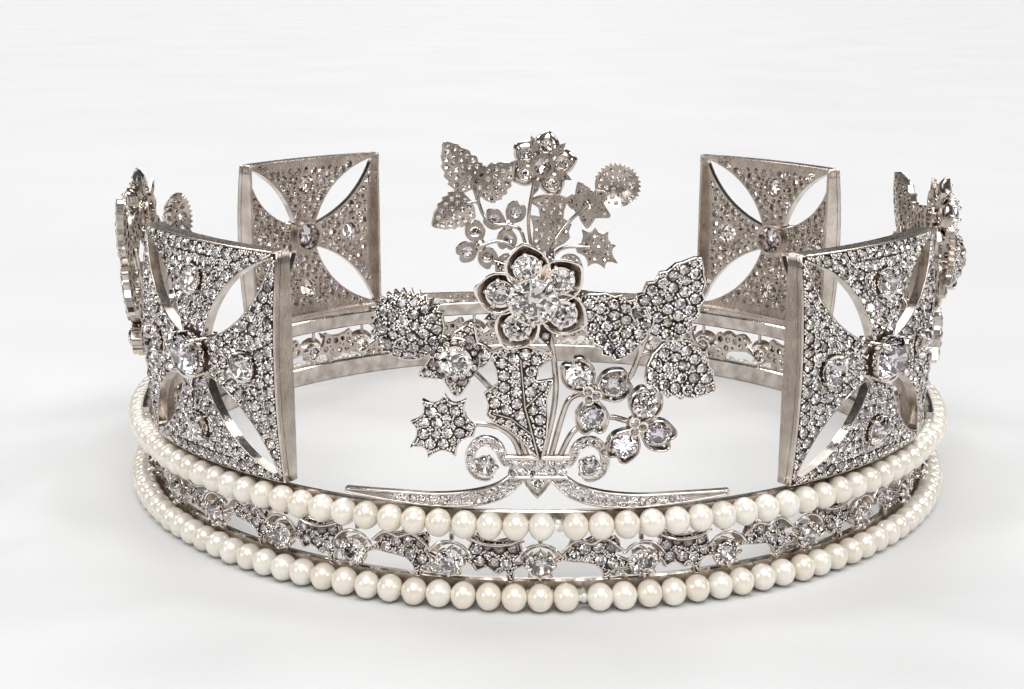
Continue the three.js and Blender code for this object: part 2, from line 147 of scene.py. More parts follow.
# Crosses: x along the arc from the middle, y up from it, z outwards
CROSS_RADIUS = 89.0
CROSS_MIDDLE = 41.5
CROSS_HALF = 22.0
CROSS_BACK = -0.5
CROSS_PLATE_BACK = 1.2
CROSS_FRONT = 3.1
CROSS_RIM = 0.7
CROSS_LIP = 0.2
CROSS_DOME = 1.7
CROSS_STEPS = (32, 16)
CROSS_WIRE = {"radius": 0.16, "aside": 0.12}
CROSS_GROOVE = {"low": 1.75, "high": 2.0, "ease": 0.12, "deep": 0.3}
CROSS_COLLAR = {"inner": 3.6, "outer": 4.2, "back": 0.6, "sides": 24}
CROSS_FOOT = {"half": 18.0, "bite": 0.3, "depth": (0.05, 0.6), "points": 25}
CROSS_PAVING = (1.2, 0.9, 0.7, 0.5)
CROSS_MARGIN = 0.12
CROSS_STONE = {"radius": 4.5, "depth": 5.2, "base": 2.5, "foot": 4.4, "claws": 4, "thick": 0.6}
CROSS_STONE_ROOM = 0.5
ARM_STONE = {"radius": 2.75, "depth": 4.2, "base": 2.5, "foot": 2.75, "claws": 4, "thick": 0.4}
ARM_STONE_ROOM = 0.3
ARM_REACH = 14.6
LENS = {"inner": 3.2, "outer": 20.8, "width": 6.6, "steps": 18}
PAVING_BACK = 0.92
ARM_BACK = 1.0
BACK_ROOM = 0.06
OPEN_SIDES = 12
BLIND_TIP = {"share": 0.1, "depth": 0.95}

# Sprays: x along the arc from the spray's middle, y up from the upper rail; bent less than the ring
SPRAY_RADIUS = 88.9
SPRAY_BEND = 150.0
SPRAY_LEAN = math.tan(math.radians(3))
PAVING = (1.05, 0.85, 0.65, 0.5)
STEM_RADIUS = 0.55
STEMS = {
    "rose": [(0.8, 9.6), (2.9, 20.0), (2.9, 27.0), (1.4, 36.0)],
    "upper shamrock": [(2.2, 9.6), (4.2, 17.6), (5.8, 21.4), (9.1, 22.5)],
    "lower shamrock": [(3.6, 9.6), (6.6, 15.4), (11.8, 17.8), (17.3, 16.5)],
    "rose leaves": [(9.4, 22.6), (13.4, 23.0), (16.2, 25.4), (17.6, 29.0)],
    "leaf by the flower": [(17.6, 29.0), (17.8, 30.4), (17.2, 32.4)],
    "top leaf": [(17.6, 29.0), (18.4, 31.4), (19.4, 34.6)],
    "outside leaf": [(17.6, 29.0), (18.8, 29.6), (20.8, 29.0)],
    "thistle": [(-1.6, 9.6), (-4.6, 17.6), (-8.6, 23.4), (-14.0, 28.7)],
    "spiky leaf": [(-2.8, 9.6), (-4.6, 14.0), (-8.4, 16.2), (-15.0, 16.2)],
}

# Leaves of a spray
LEAVES = [
    {"base": (17.6, 31.6), "tip": (7.2, 40.4), "width": 10.4},
    {"base": (18.8, 33.4), "tip": (27.4, 46.9), "width": 10.8},
    {"base": (19.8, 29.6), "tip": (31.2, 22.4), "width": 10.2},
]
LEAF_DEPTH = (0.0, 1.5)
LEAF_FOLD = 0.2
LEAF_STATIONS = [0, 0.06, 0.2, 0.42, 0.65, 0.85, 1]
LEAF_HALVES = [0.35, 0.8, 1.0, 0.98, 0.78, 0.45, 0.05]
LEAF_TEETH = 6
TOOTH = [{"place": 0.12, "swell": 0.95}, {"place": 0.5, "swell": 1.02}, {"place": 0.85, "swell": 1.1}]
BIG_LEAF = [
    (0.6, 9.8), (1.6, 14.6), (1.8, 18.0), (1.6, 21.6), (2.6, 25.4), (-0.2, 24.9), (0.2, 27.6),
    (2.4, 29.8), (-1.6, 31.3), (-5.0, 31.4), (-8.4, 30.2), (-7.2, 26.7), (-7.0, 24.4),
    (-9.4, 22.6), (-8.6, 20.4), (-9.0, 18.6), (-7.4, 17.0), (-5.2, 15.9), (-2.5, 13.4),
]
BIG_LEAF_DEPTH = (0.7, 1.8)
BIG_LEAF_RIBS = [
    ((0.2, 10.5), (-0.9, 15.0), 0.2),
    ((-0.9, 15.0), (-2.2, 20.0), 0.2),
    ((-2.2, 20.0), (-3.0, 29.0), 0.15),
    ((-0.9, 15.0), (-4.6, 18.0), 0.2),
    ((-4.6, 18.0), (-7.8, 18.9), 0.15),
    ((-2.2, 20.0), (0.6, 23.0), 0.15),
]
BIG_LEAF_HEM = {"corners": BIG_LEAF[6:11], "sink": 0.1, "radius": 0.28}
SPIKES = [
    (-12.5, 21.3), (-16.3, 22.1), (-20.3, 20.9), (-22.5, 16.7),
    (-23.1, 11.6), (-19.5, 9.9), (-14.5, 10.4),
]
SPIKY_NECK = [(-11.3, 14.4), (-10.7, 16.3)]
SPIKY_MIDDLE = np.array([-16.5, 16.1])
SPIKY_HOLLOW = 0.45

# Thistle: a toothed head over a cup with sepals
THISTLE_HEAD = {"x": -22.5, "y": 34.4, "radius": 6.5, "rise": 2.8, "squash": 0.97, "depth": (0.0, 1.2)}
THISTLE_TEETH = {"count": 30, "from": 20, "to": 235, "valley": -0.45, "peak": 0.5, "bare": -0.1}
THISTLE_PAVING = (0.95, 0.75, 0.55)
THISTLE_LARGE = [(-4.2, 0.2, 1.5), (-3.8, -3.0, 1.5)]
THISTLE_CUP = (-14.0, 28.7)
THISTLE_COLLAR = {"radius": 4.1, "hole": 2.0, "depth": (-0.2, 2.0)}
THISTLE_RING = {"reach": 3.3, "stones": 15, "radius": 0.58}
THISTLE_STONE = {"radius": 2.6, "depth": 3.4, "base": 1.6, "foot": 2.4, "claws": 6, "thick": 0.35}
SEPALS = [(12, 6.4), (68, 7.2), (146, 6.4), (207, 7.6), (269, 7.0)]
SEPAL_EDGE = [(1.6, 1.3), (3.6, 2.3), (5.2, 1.6)]
SEPAL_DEPTH = (0.1, 1.5)

# Rose: rings of a petal are shares of its outline with a depth, from its hollow over its lip to its back
ROSE = np.array([-0.9, 40.0])
ROSE_HUB = {"radius": 3.6, "hole": 2.6, "depth": (-0.4, 1.6)}
ROSE_STONE = {"radius": 3.9, "depth": 4.9, "base": 1.2, "foot": 3.2, "claws": 8, "thick": 0.42}
HUB_SIDES = 28
HUB_HOLE_SIDES = 20
PETAL_ANGLES = [37, 100, 170, 242, 333]
PETAL = {"reach": 5.6, "radius": 3.55, "point": 0.65, "sharp": 0.32, "sides": 28}
PETAL_RINGS = [
    (0.5, 1.7), (0.75, 1.9), (0.92, 2.5), (1.0, 2.9), (1.08, 2.7),
    (0.95, 1.7), (0.65, 0.8), (0.48, 0.6), (0.5, 1.7),
]
# Finishes of the petal's skins: the dark silver in its hollow is painted shade, the lighter silver over its
# lip a painted highlight
PETAL_SKINS = [(slice(0, 2), PAINTED_SHADE_BED), (slice(1, 3), SATIN), (slice(2, 5), PAINTED_LIGHT), (slice(4, 9), POLISHED)]
PETAL_STONE = {"radius": 2.2, "depth": 3.0, "base": 1.5, "foot": 1.9, "claws": 5, "thick": 0.4}
POINT_EDGE = [(4.6, 0.9), (7.2, 1.1)]
POINT = {"tip": 9.4, "depth": (0.2, 1.3), "chamfer": 0.15}
POINT_STONE = {"reach": 7.2, "radius": 0.8, "hole": 0.65, "depth": 1.35}
POINT_BEAD = {"reach": 8.3, "radius": 0.3}

# Shamrocks
SHAMROCKS = [
    {"middle": (9.1, 22.5), "angles": (22, 121, 274)},
    {"middle": (17.3, 16.5), "angles": (71, 239, 334)},
]
HEART = [(0.7, 0), (2.6, -2.4), (4.6, -3.0), (6.8, -2.2), (7.3, -1.0), (6.7, 0)]
HEART_TRAY = {"wall": 0.4, "back": 0.2, "front": 2.4, "floor": 1.3}
HEART_STONE = {"reach": 4.2, "radius": 2.2, "depth": 2.35, "hole": 1.7, "sides": 16}
HEART_GRIP = {"turns": (0.6, 2.2, 4.1, 5.7), "radius": 0.36, "depth": 2.3}
KNOB = {"size": (1.7, 1.7, 2.2), "base": 0.1, "reach": 0.95, "stones": 3}
KNOB_STONE = {"radius": 0.75, "depth": 2.6, "base": 1.4, "foot": 0.6, "claws": 3, "thick": 0.2}

# Buckle, its drop, the scrolls beside it and the long arms along the rail
BUCKLE = [(-5.6, 10.5), (-5.0, 8.4), (-5.2, 6.5), (5.2, 6.5), (5.0, 8.4), (5.6, 10.5)]
BUCKLE_DEPTH = (-0.8, 1.7)
BUCKLE_SINK = 0.5
BUCKLE_STONES = {"heights": (7.62, 9.4), "half": 4.4, "count": 6, "radius": 0.88}
BUCKLE_BARS = [{"height": 10.35, "half": 5.7, "thick": 0.5}, {"height": 6.65, "half": 5.2, "thick": 0.42}]
BUCKLE_BAR_SINK = 0.55
DROP_EDGE = [(0, 2.6), (1.3, 4.0), (2.3, 5.6), (1.9, 7.0), (0, 7.0)]
DROP_TRAY = {"wall": 0.35, "back": -0.6, "front": 1.3, "floor": 0.6}
DROP_STONE = {"place": (0, 5.6), "radius": 1.3, "depth": 1.25, "hole": 0.95, "sides": 12}
STRIP_CHAMFER = 0.12
STRIP_RIM_INSET = 0.8
ARM_ROWS = [
    (2.6, 7.2, 1.2), (6.6, 3.8, 1.5), (11.5, 2.2, 1.5),
    (18.0, 1.6, 1.3), (25.5, 1.85, 1.05), (35.4, 2.4, 0.5),
]
ARM = {"depth": (-0.7, 0.6), "rim": 0.22, "bare": 9.0}
ARM_PAVING = {"start": 1.2, "two_rows": 15.0, "edge": 0.22, "share": 0.88, "pitch": 2.04}
ARM_LINES = {"shares": (-0.4, 0.0, 0.4), "depth": 0.66, "radius": 0.13}
SCROLL = {"x": 9.4, "y": 9.4, "open": 4.2, "close": 0.3, "narrow": 0.78, "points": 26}
SCROLL_HALF_TURNS = {"start": 0.95, "sweep": 1.6}
SCROLL_RISE = [(5.0, 9.8), (5.6, 9.0)]
SCROLL_STRIP = {"depth": (-0.5, 0.5), "rim": 0.2, "stations": (0, 0.3, 1), "halves": (0.5, 0.95, 0.75)}
SCROLL_PAVING = {"first": 6, "every": 2, "share": 0.74}
SCROLL_STONE = {"radius": 1.9, "depth": 1.5, "base": -0.3, "foot": 1.5, "claws": 5, "thick": 0.3}
SCROLL_STONE_ASIDE = (-0.2, -0.7)

# Light: a dim room, soft ceiling rows by pitch and middle, and lamps by direction and spread in degrees
FLOOR_RADIUS_M = 40.0
ROOM = ((0.0, (0.02, 0.02, 0.02)), (0.3, (0.05, 0.05, 0.05)), (1.0, (0.15, 0.15, 0.15)))
PANELS = {"dome": 0.35, "across": (0.9, 0.0), "ahead": (0.8, -0.35), "light": 2.0, "fall": 4.0}
LAMPS = [
    {"way": (0.06, -0.44, 0.9), "light": 3.4, "spread": 27.0},
    {"way": (-0.1, 0.62, 0.8), "light": 1.8, "spread": 22.0},
    {"way": (-0.62, 0.34, 0.7), "light": 12.0, "spread": 6.0},
    {"way": (0.66, 0.3, 0.7), "light": 12.0, "spread": 6.0},
    {"way": (-0.75, -0.5, 0.4), "light": 13.0, "spread": 6.0},
    {"way": (0.78, -0.45, 0.4), "light": 13.0, "spread": 6.0},
]

# Camera, from the photograph's viewing angle
LENS_MM = 51.78
SENSOR_MM = 36.0
CAMERA_DISTANCE = 351.3
CAMERA_TARGET = 26.5
CAMERA_ELEVATION = 14.09
CAMERA_ROLL = 0.369
CAMERA_SHIFT = (-0.0257, 0.002)
CAMERA_CLIP_M = 0.01


# Forms

@dataclass
class Form:
    """Triangles in millimetres, with a finish and a shading for each and a tone for each point."""
    points: np.ndarray
    faces: np.ndarray
    finish: np.ndarray
    smooth: np.ndarray
    tone: np.ndarray


def form(points, faces, finish=POLISHED, smooth=False):
    points = np.asarray(points, float)
    faces = np.asarray(faces, int)
    count = len(faces)
    return Form(points, faces, np.full(count, finish), np.full(count, smooth), np.zeros(len(points)))


def joined(forms):
    starts = np.cumsum([0] + [len(f.points) for f in forms[:-1]])
    return Form(
        np.concatenate([f.points for f in forms]),
        np.concatenate([f.faces + start for f, start in zip(forms, starts)]),
        np.concatenate([f.finish for f in forms]),
        np.concatenate([f.smooth for f in forms]),
        np.concatenate([f.tone for f in forms]),
    )


def stamped(template, centres, axes, tones):
    """Copies of a template, each with its own place, axes and tone."""
    count, size = len(centres), len(template.points)
    points = np.einsum("kij,nj->kni", axes, template.points) + centres[:, None]
    faces = template.faces[None] + size * np.arange(count)[:, None, None]
    return Form(
        points.reshape(-1, 3),
        faces.reshape(-1, 3),
        np.tile(template.finish, count),
        np.tile(template.smooth, count),
        np.repeat(tones, size),
    )


def unit(vectors):
    return vectors / np.linalg.norm(vectors, axis=1, keepdims=True)


def facing(normals, spins, sizes):
    """Axes of things that face along normals, each turned by its spin and scaled by its size."""
    normals = unit(normals)
    side = unit(np.cross([0.0, 1.0, 0.0], normals))
    up = np.cross(normals, side)
    cos, sin = np.cos(spins)[:, None], np.sin(spins)[:, None]
    axes = np.stack([side * cos + up * sin, up * cos - side * sin, normals], axis=2)
    return axes * sizes[:, None, None]


def bent(shape, bend):
    return replace(shape, points=bend(shape.points))


def moved(shape, x, y, z=0.0):
    return replace(shape, points=shape.points + [x, y, z])


def wrapped(shape, radius, foot=0.0, lean=0.0, bend=None):
    """Bends a flat form with the ring, or by its own radius: x runs along the arc, y up, z outwards."""
    bend = bend or radius
    x, y, z = shape.points.T
    reach = bend + z + y * lean
    angle = x / bend
    out = reach * np.cos(angle) + radius - bend
    return replace(shape, points=np.stack([reach * np.sin(angle), -out, y + foot], 1))


def turned(shape, degrees):
    cos, sin = math.cos(math.radians(degrees)), math.sin(math.radians(degrees))
    x, y, z = shape.points.T
    return replace(shape, points=np.stack([x * cos - y * sin, x * sin + y * cos, z], 1))


# Outlines

def turns(count, start=0.0):
    """Angles evenly round a circle, from a share of a step."""
    return (np.arange(count) + start) * 2 * np.pi / count


def heading(angle):
    """Flat directions at an angle and to its left."""
    out = np.array([math.cos(angle), math.sin(angle)])
    return out, np.array([-out[1], out[0]])


def left_of(ahead):
    """Unit directions to the left of flat ones."""
    x, y = unit(ahead).T
    return np.stack([-y, x], 1)


def spline(points, steps, closed=False):
    """Smooth line through points, with a number of steps between each two."""
    way = np.asarray(points, float)
    if closed:
        padded = np.concatenate([way[-1:], way, way[:2]])
    else:
        padded = np.concatenate([2 * way[:1] - way[1:2], way, 2 * way[-1:] - way[-2:-1]])
    t = np.linspace(0, 1, steps, endpoint=False)[:, None]
    rows = []
    for a, b, c, d in zip(padded, padded[1:], padded[2:], padded[3:]):
        bend = 2 * a - 5 * b + 4 * c - d
        twist = 3 * b - a - 3 * c + d
        rows.append(b + 0.5 * ((c - a) * t + bend * t**2 + twist * t**3))
    if not closed:
        rows.append(way[-1:])
    return np.concatenate(rows)


def bow(start, control, end, steps):
    """Quadratic curve, without its last point."""
    t = np.linspace(0, 1, steps, endpoint=False)[:, None]
    start, control, end = np.array(start), np.array(control), np.array(end)
    return start * (1 - t) ** 2 + 2 * control * t * (1 - t) + end * t**2


def circle(x, y, radius, sides):
    angle = turns(sides)
    return np.stack([x + radius * np.cos(angle), y + radius * np.sin(angle)], 1)


def pointed_loop(place, degrees, edge, tip):
    """Outline that points away from a place, from the (along, aside) corners of its left edge."""
    out, across = heading(math.radians(degrees))
    corners = [(along, -aside) for along, aside in edge] + [(tip, 0.0)] + edge[::-1]
    return np.array([place + out * along + across * aside for along, aside in corners])


def inset(loop, distance):
    """A counter-clockwise loop moved inwards."""
    inward = left_of(np.roll(loop, -1, 0) - loop)
    total = inward + np.roll(inward, 1, 0)
    sharpest = 0.4
    return loop + distance * total / np.maximum((total * total).sum(1, keepdims=True) / 2, sharpest)


def strip_loop(way, half):
    """Outline of a strip that follows a line, with half its width at each point."""
    aside = left_of(np.gradient(way, axis=0)) * np.asarray(half)[..., None]
    return np.concatenate([way - aside, (way + aside)[::-1]])


def inside(points, loop):
    """Whether each point lies in a loop: an odd number of its edges cross to the right."""
    ax, ay = loop.T
    bx, by = np.roll(loop, -1, 0).T
    x, y = points[:, :1], points[:, 1:]
    crosses = (ay > y) != (by > y)
    rise = np.where(by == ay, 1.0, by - ay)
    return (crosses & (x < ax + (y - ay) * (bx - ax) / rise)).sum(1) % 2 == 1


def edge_distance(points, starts, ends):
    along = ends - starts
    away = points[:, None] - starts
    share = np.clip((away * along).sum(2) / (along * along).sum(1), 0, 1)
    return np.linalg.norm(away - share[..., None] * along, axis=2).min(1)


def packed(loop, radii, margin, gap, keep_out=(), ribs=(), step=0.2):
    """Rows of x, y and radius: circles in a loop, the widest first, close to its edge and each other."""
    low, high = loop.min(0), loop.max(0)
    grid = np.stack(np.meshgrid(*[np.arange(a, b, step) for a, b in zip(low, high)]), -1).reshape(-1, 2)
    grid = grid[inside(grid, loop)]
    edge = edge_distance(grid, loop, np.roll(loop, -1, 0)) - margin
    for start, end, half in ribs:
        edge = np.minimum(edge, edge_distance(grid, np.array([start]), np.array([end])) - half)
    room = np.full(len(grid), high.max() - low.min())
    for x, y, radius in keep_out:
        room = np.minimum(room, np.hypot(*(grid - [x, y]).T) - radius - gap)
    rows = []
    for radius in radii:
        while True:
            fits = np.flatnonzero((room >= radius) & (edge >= radius))
            if not len(fits):
                break
            x, y = grid[fits[np.argmin(room[fits] + edge[fits])]]
            rows.append((x, y, radius))
            room = np.minimum(room, np.hypot(*(grid - [x, y]).T) - radius - gap)
    return np.array(rows).reshape(-1, 3)


def seats(rows, sides=SEAT_SIDES):
    """Holes under stones, a little narrower than they are."""
    return [circle(x, y, SEAT_SHARE * radius, sides) for x, y, radius in rows]


# Solids

def at(loop, depth):
    """Flat points at one depth, or each at its own."""
    return np.column_stack([loop, np.full(len(loop), depth)])


def ring_points(radius, height, count, start=0.0):
    angle = turns(count, start)
    return np.stack([radius * np.cos(angle), radius * np.sin(angle), np.full(count, height)], 1)


def ring_pairs(count):
    """Places round a ring, and the place after each."""
    here = np.arange(count)
    return here, (here + 1) % count


def lofted(rings, finish=POLISHED, smooth=True):
    """Skin over rings of points, each ring closed."""
    rings = np.asarray(rings, float)
    levels, count = rings.shape[:2]
    here, ahead = ring_pairs(count)
    faces = []
    for low in range(0, (levels - 1) * count, count):
        high = low + count
        faces.append(np.stack([low + here, low + ahead, high + ahead], 1))
        faces.append(np.stack([low + here, high + ahead, high + here], 1))
    return form(rings.reshape(-1, 3), np.concatenate(faces), finish, smooth)


def walls(rings, finish=POLISHED, smooth=True):
    """Skin over rings with a sharp edge at each of them."""
    return joined([lofted(pair, finish, smooth) for pair in zip(rings, rings[1:])])


def triangulated(loops):
    corners = [Vector(corner) for corner in np.concatenate(loops)]
    edges = []
    for loop in loops:
        start = len(edges)
        edges.extend((start + i, start + (i + 1) % len(loop)) for i in range(len(loop)))
    points, _, faces, *_ = delaunay_2d_cdt(corners, edges, [], 0, 1e-5, False)
    points, faces = np.array(points), np.array(faces)
    middles = points[faces].mean(1)
    kept = inside(middles, loops[0])
    for hole in loops[1:]:
        kept &= ~inside(middles, hole)
    return points, faces[kept]


def sheet(loops, depth, finish, up=True):
    """Flat face inside the first loop and outside the others."""
    points, faces = triangulated(loops)
    return form(at(points, depth), faces if up else faces[:, ::-1], finish, smooth=True)


def slab(loop, back, front, holes=(), chamfer=0.2, face=PAINTED_SHADE_BED, edge=POLISHED, smooth=False):
    """Plate of an outline with chamfered front edges, its front by default in the dark silver that paints
    shade between stones, and holes that widen towards the front with walls in the lighter silver that
    paints light.
    """
    narrow = [inset(hole, SEAT_TAPER) for hole in holes]
    top = inset(loop, chamfer)
    parts = [
        sheet([top, *holes], front, face),
        sheet([loop, *narrow], back, SATIN, up=False),
        walls([at(loop, back), at(loop, front - chamfer), at(top, front)], edge, smooth),
    ]
    parts += [lofted([at(wide, front), at(tight, back)], PAINTED_LIGHT) for wide, tight in zip(holes, narrow)]
    return joined(parts)


def tray(loop, hole, wall, back, front, floor):
    """Bezel of an outline: a rounded rim round a sunk floor that is open under the stone."""
    ease = wall / 3
    inner = inset(loop, wall)
    rings = [
        at(loop, back), at(loop, front - ease), at(inset(loop, ease), front),
        at(inset(loop, wall - ease), front), at(inner, front - ease), at(inner, floor),
    ]
    return joined([
        walls(rings),
        sheet([inner, hole], floor, POLISHED),
        sheet([loop, hole], back, SATIN, up=False),
        # Wall of the hole under the stone in the lighter silver: painted light
        lofted([at(hole, floor), at(hole, back)], PAINTED_LIGHT),
    ])


def lathe(profile, sides, finish=POLISHED, smooth=True):
    """Turned ring of a closed profile of (reach, height) corners, rising on the outside."""
    rings = [ring_points(reach, height, sides) for reach, height in profile]
    return walls(rings + rings[:1], finish, smooth)


def capped(rings, finish=POLISHED, smooth=True):
    """Skin over rings, closed at both ends."""
    skin = lofted(rings, finish, smooth)
    sides = len(rings[0])
    here, ahead = ring_pairs(sides)
    last = (len(rings) - 1) * sides
    start_fan = np.stack([np.full(sides, 0), ahead, here], 1)[1:-1]
    end_fan = np.stack([np.full(sides, last), last + here, last + ahead], 1)[1:-1]
    ends = form(skin.points, np.concatenate([start_fan, end_fan]), finish)
    return joined([skin, ends])


def ribbon(way, profile, finish=SATIN):
    """Bar of a profile of (aside, depth) corners along a flat line."""
    left = left_of(np.gradient(way, axis=0))
    rings = np.stack([at(way + left * aside, depth) for aside, depth in profile], 1)
    return capped(rings, finish, smooth=False)


def tube(way, radius, sides=6, finish=POLISHED, reference=(0, 0, 1)):
    """Round bar along a line, closed at its ends; the radius may change along it."""
    way = np.asarray(way, float)
    radius = np.broadcast_to(radius, len(way))[:, None, None]
    ahead = unit(np.gradient(way, axis=0))
    side = unit(np.cross(ahead, reference))
    up = np.cross(ahead, side)
    angle = turns(sides)[:, None]
    rings = way[:, None] + radius * (np.cos(angle) * side[:, None] + np.sin(angle) * up[:, None])
    return capped(rings, finish)


def wire(way, depth, radius, finish=POLISHED, sides=6):
    """Round bar along a flat line at one depth."""
    return tube(at(np.asarray(way, float), depth), radius, sides, finish)


def rim(loop, depth, radius, finish=POLISHED, sides=6):
    """Round wire along a closed flat loop."""
    outward = at(-left_of(np.roll(loop, -1, 0) - np.roll(loop, 1, 0)), 0.0)
    up = np.array([0, 0, 1.0])
    middle = at(loop, depth)
    rings = [middle + radius * (math.cos(a) * outward + math.sin(a) * up) for a in turns(sides)]
    return lofted(rings + rings[:1], finish)


# Templates of one millimetre radius, facing along z

def ball(sides, rings, low=-90):
    """Sphere, or the cap of one above a latitude in degrees."""
    levels = np.radians(np.linspace(low, 90, rings + 2))[(1 if low == -90 else 0):-1]
    skin = lofted([ring_points(np.cos(level), np.sin(level), sides) for level in levels])
    count = len(skin.points)
    last = count - sides
    here, ahead = ring_pairs(sides)
    points = np.concatenate([skin.points, [[0, 0, 1.0], [0, 0, np.sin(np.radians(low))]]])
    top = np.stack([last + here, last + ahead, np.full(sides, count)], 1)
    bottom = np.stack([ahead, here, np.full(sides, count + 1)], 1)
    return form(points, np.concatenate([skin.faces, top, bottom]), smooth=True)


def brilliant():
    """Round brilliant cut: table, stars, kites and girdle facets above, kites and girdle facets below."""
    cut = BRILLIANT_CUT
    table, stars = ring_points(*cut["table"], 8), ring_points(*cut["stars"], 8, 0.5)
    high, low = ring_points(1.0, cut["girdle"], 16), ring_points(1.0, -cut["girdle"], 16)
    deep, tip = ring_points(*cut["deep"], 8, 0.5), np.array([[0, 0, cut["tip"]]])
    points = np.concatenate([table, stars, high, low, deep, tip])
    star, upper, lower, pavilion, culet = 8, 16, 32, 48, 56
    faces = [(0, i, i + 1) for i in range(1, 7)]
    for i in range(8):
        j, before = (i + 1) % 8, (i - 1) % 8
        corner, middle, following = 2 * i, 2 * i + 1, 2 * j
        faces += [
            (i, star + i, j),
            (i, star + before, upper + corner),
            (i, upper + corner, star + i),
            (star + i, upper + corner, upper + middle),
            (star + i, upper + middle, upper + following),
            (upper + corner, lower + corner, lower + middle),
            (upper + corner, lower + middle, upper + middle),
            (upper + middle, lower + middle, lower + following),
            (upper + middle, lower + following, upper + following),
            (pavilion + i, lower + middle, lower + corner),
            (pavilion + i, lower + following, lower + middle),
            (pavilion + before, pavilion + i, lower + corner),
            (pavilion + i, pavilion + before, culet),
        ]
    return form(points, faces)


def single_cut():
    """Small paving stone: an eight-sided table, a zigzag crown and a pointed pavilion."""
    table, girdle = ring_points(*PAVING_CUT["table"], 8), ring_points(1.0, 0.0, 8, 0.5)
    points = np.concatenate([table, girdle, [[0, 0, PAVING_CUT["tip"]]]])
    faces = [(0, i, i + 1) for i in range(1, 7)]
    for i in range(8):
        j, before = (i + 1) % 8, 8 + (i - 1) % 8
        faces += [(i, before, 8 + i), (i, 8 + i, j), (before, 16, 8 + i)]
    return form(points, faces)


# Bead in the lighter silver: a painted highlight between stones
def painted_light_bead():
    bead = ball(6, 1, low=0)
    return replace(bead, finish=np.full_like(bead.finish, PAINTED_LIGHT))


BRILLIANT = brilliant()
SINGLE_CUT = single_cut()
BEAD = painted_light_bead()
PEARL = ball(20, 11)
KNOT_LUMP = ball(10, 5)
KNOB_DOME = ball(16, 4, low=0)


# Settings

class Jewel:
    """The metal and the stones of one ornament, gathered part by part."""

    def __init__(self, seed):
        self.metal = []
        self.stones = []
        self.draw = np.random.default_rng(seed)

    def set_stones(self, rows, depth):
        """Cut stones with their girdles at a depth, each a little out of true."""
        rows = np.asarray(rows, float).reshape(-1, 3)
        count = len(rows)
        normals = self.draw.normal(0, STONE_TILT, (count, 3)) + [0, 0, 1]
        axes = facing(normals, self.draw.random(count) * np.pi, rows[:, 2])
        centres = at(rows[:, :2], depth)
        tones = self.draw.random(count)
        wide = rows[:, 2] >= BRILLIANT_FROM
        for template, chosen in ((BRILLIANT, wide), (SINGLE_CUT, ~wide)):
            if chosen.any():
                self.stones.append(stamped(template, centres[chosen], axes[chosen], tones[chosen]))

    def set_beads(self, rows, depth):
        rows = np.asarray(rows, float).reshape(-1, 3)
        axes = rows[:, 2, None, None] * np.eye(3)
        self.metal.append(stamped(BEAD, at(rows[:, :2], depth), axes, self.draw.random(len(rows))))

    def pave(self, loop, back, front, radii, margin=0.2, large=(), ribs=(), smooth=False):
        """Plate set with stones, open behind each, with beads between them and a wire round its edge."""
        rows = np.array([*large, *packed(loop, radii, margin, STONE_GAP, large, ribs)])
        beads = packed(loop, (BEAD_RADIUS,), BEAD_MARGIN, BEAD_GAP, rows, ribs)
        sunk = EDGE_WIRE / 2
        self.metal.append(slab(loop, back, front, seats(rows), smooth=smooth))
        # Edge wire in the lighter silver: a painted highlight along the rim
        self.metal.append(rim(inset(loop, sunk), front - sunk, EDGE_WIRE, PAINTED_LIGHT, EDGE_SIDES))
        self.set_stones(rows, front + STONE_LIFT)
        self.set_beads(beads, front)

    def claw_setting(self, x, y, stone, turn=0.0):
        """Open collet with claws that bend over the girdle of a stone."""
        radius, depth, base, foot = (stone[key] for key in ("radius", "depth", "base", "foot"))
        wall, lip = COLLET["wall"], COLLET["lip"]
        edge = radius + lip
        profile = [
            (foot, base), (edge, depth - lip), (edge, depth),
            (radius - wall / 2, depth), (radius - wall, depth - lip), (foot - wall, base),
        ]
        # Collet and claws in the lighter silver: painted highlight
        self.metal.append(moved(lathe(profile, COLLET["sides"], PAINTED_LIGHT), x, y))
        reach = np.array([foot, edge, edge, *(radius * share for share in CLAW_REACH)])
        rise = np.array([base, depth - lip, *(depth + radius * share for share in CLAW_RISE)])
        for angle in turns(stone["claws"]) + turn:
            out, across = heading(angle)
            way = at([x, y] + reach[:, None] * out, rise)
            self.metal.append(tube(way, stone["thick"] * CLAW_TAPER, 6, PAINTED_LIGHT, (*across, 0)))

    def claw_stone(self, x, y, stone, turn=0.0):
        """Claw setting with its stone."""
        self.claw_setting(x, y, stone, turn)
        self.set_stones([(x, y, stone["radius"])], stone["depth"])

    def bend(self, bend, metal_from=0, stones_from=0):
        """Bends the parts gathered since a count of each."""
        self.metal[metal_from:] = [bent(part, bend) for part in self.metal[metal_from:]]
        self.stones[stones_from:] = [bent(part, bend) for part in self.stones[stones_from:]]

    def marks(self):
        return len(self.metal), len(self.stones)


# Crosses

def lens_edge(across, up, out):
    """One edge of the lens-shaped opening on a diagonal, from its inner tip."""
    middle = (LENS["inner"] + LENS["outer"]) / 2
    swell = LENS["width"] / math.sqrt(2)
    inner, outer = ((across * LENS[tip], up * LENS[tip]) for tip in ("inner", "outer"))
    control = (across * (middle + out * swell), up * (middle - out * swell))
    return bow(inner, control, outer, LENS["steps"])


def lens_loop(across, up):
    outer = np.array([[across * LENS["outer"], up * LENS["outer"]]])
    one, other = lens_edge(across, up, 1), lens_edge(across, up, -1)
    loop = np.concatenate([one, outer, other[:0:-1]])
    return loop if across * up > 0 else loop[::-1]


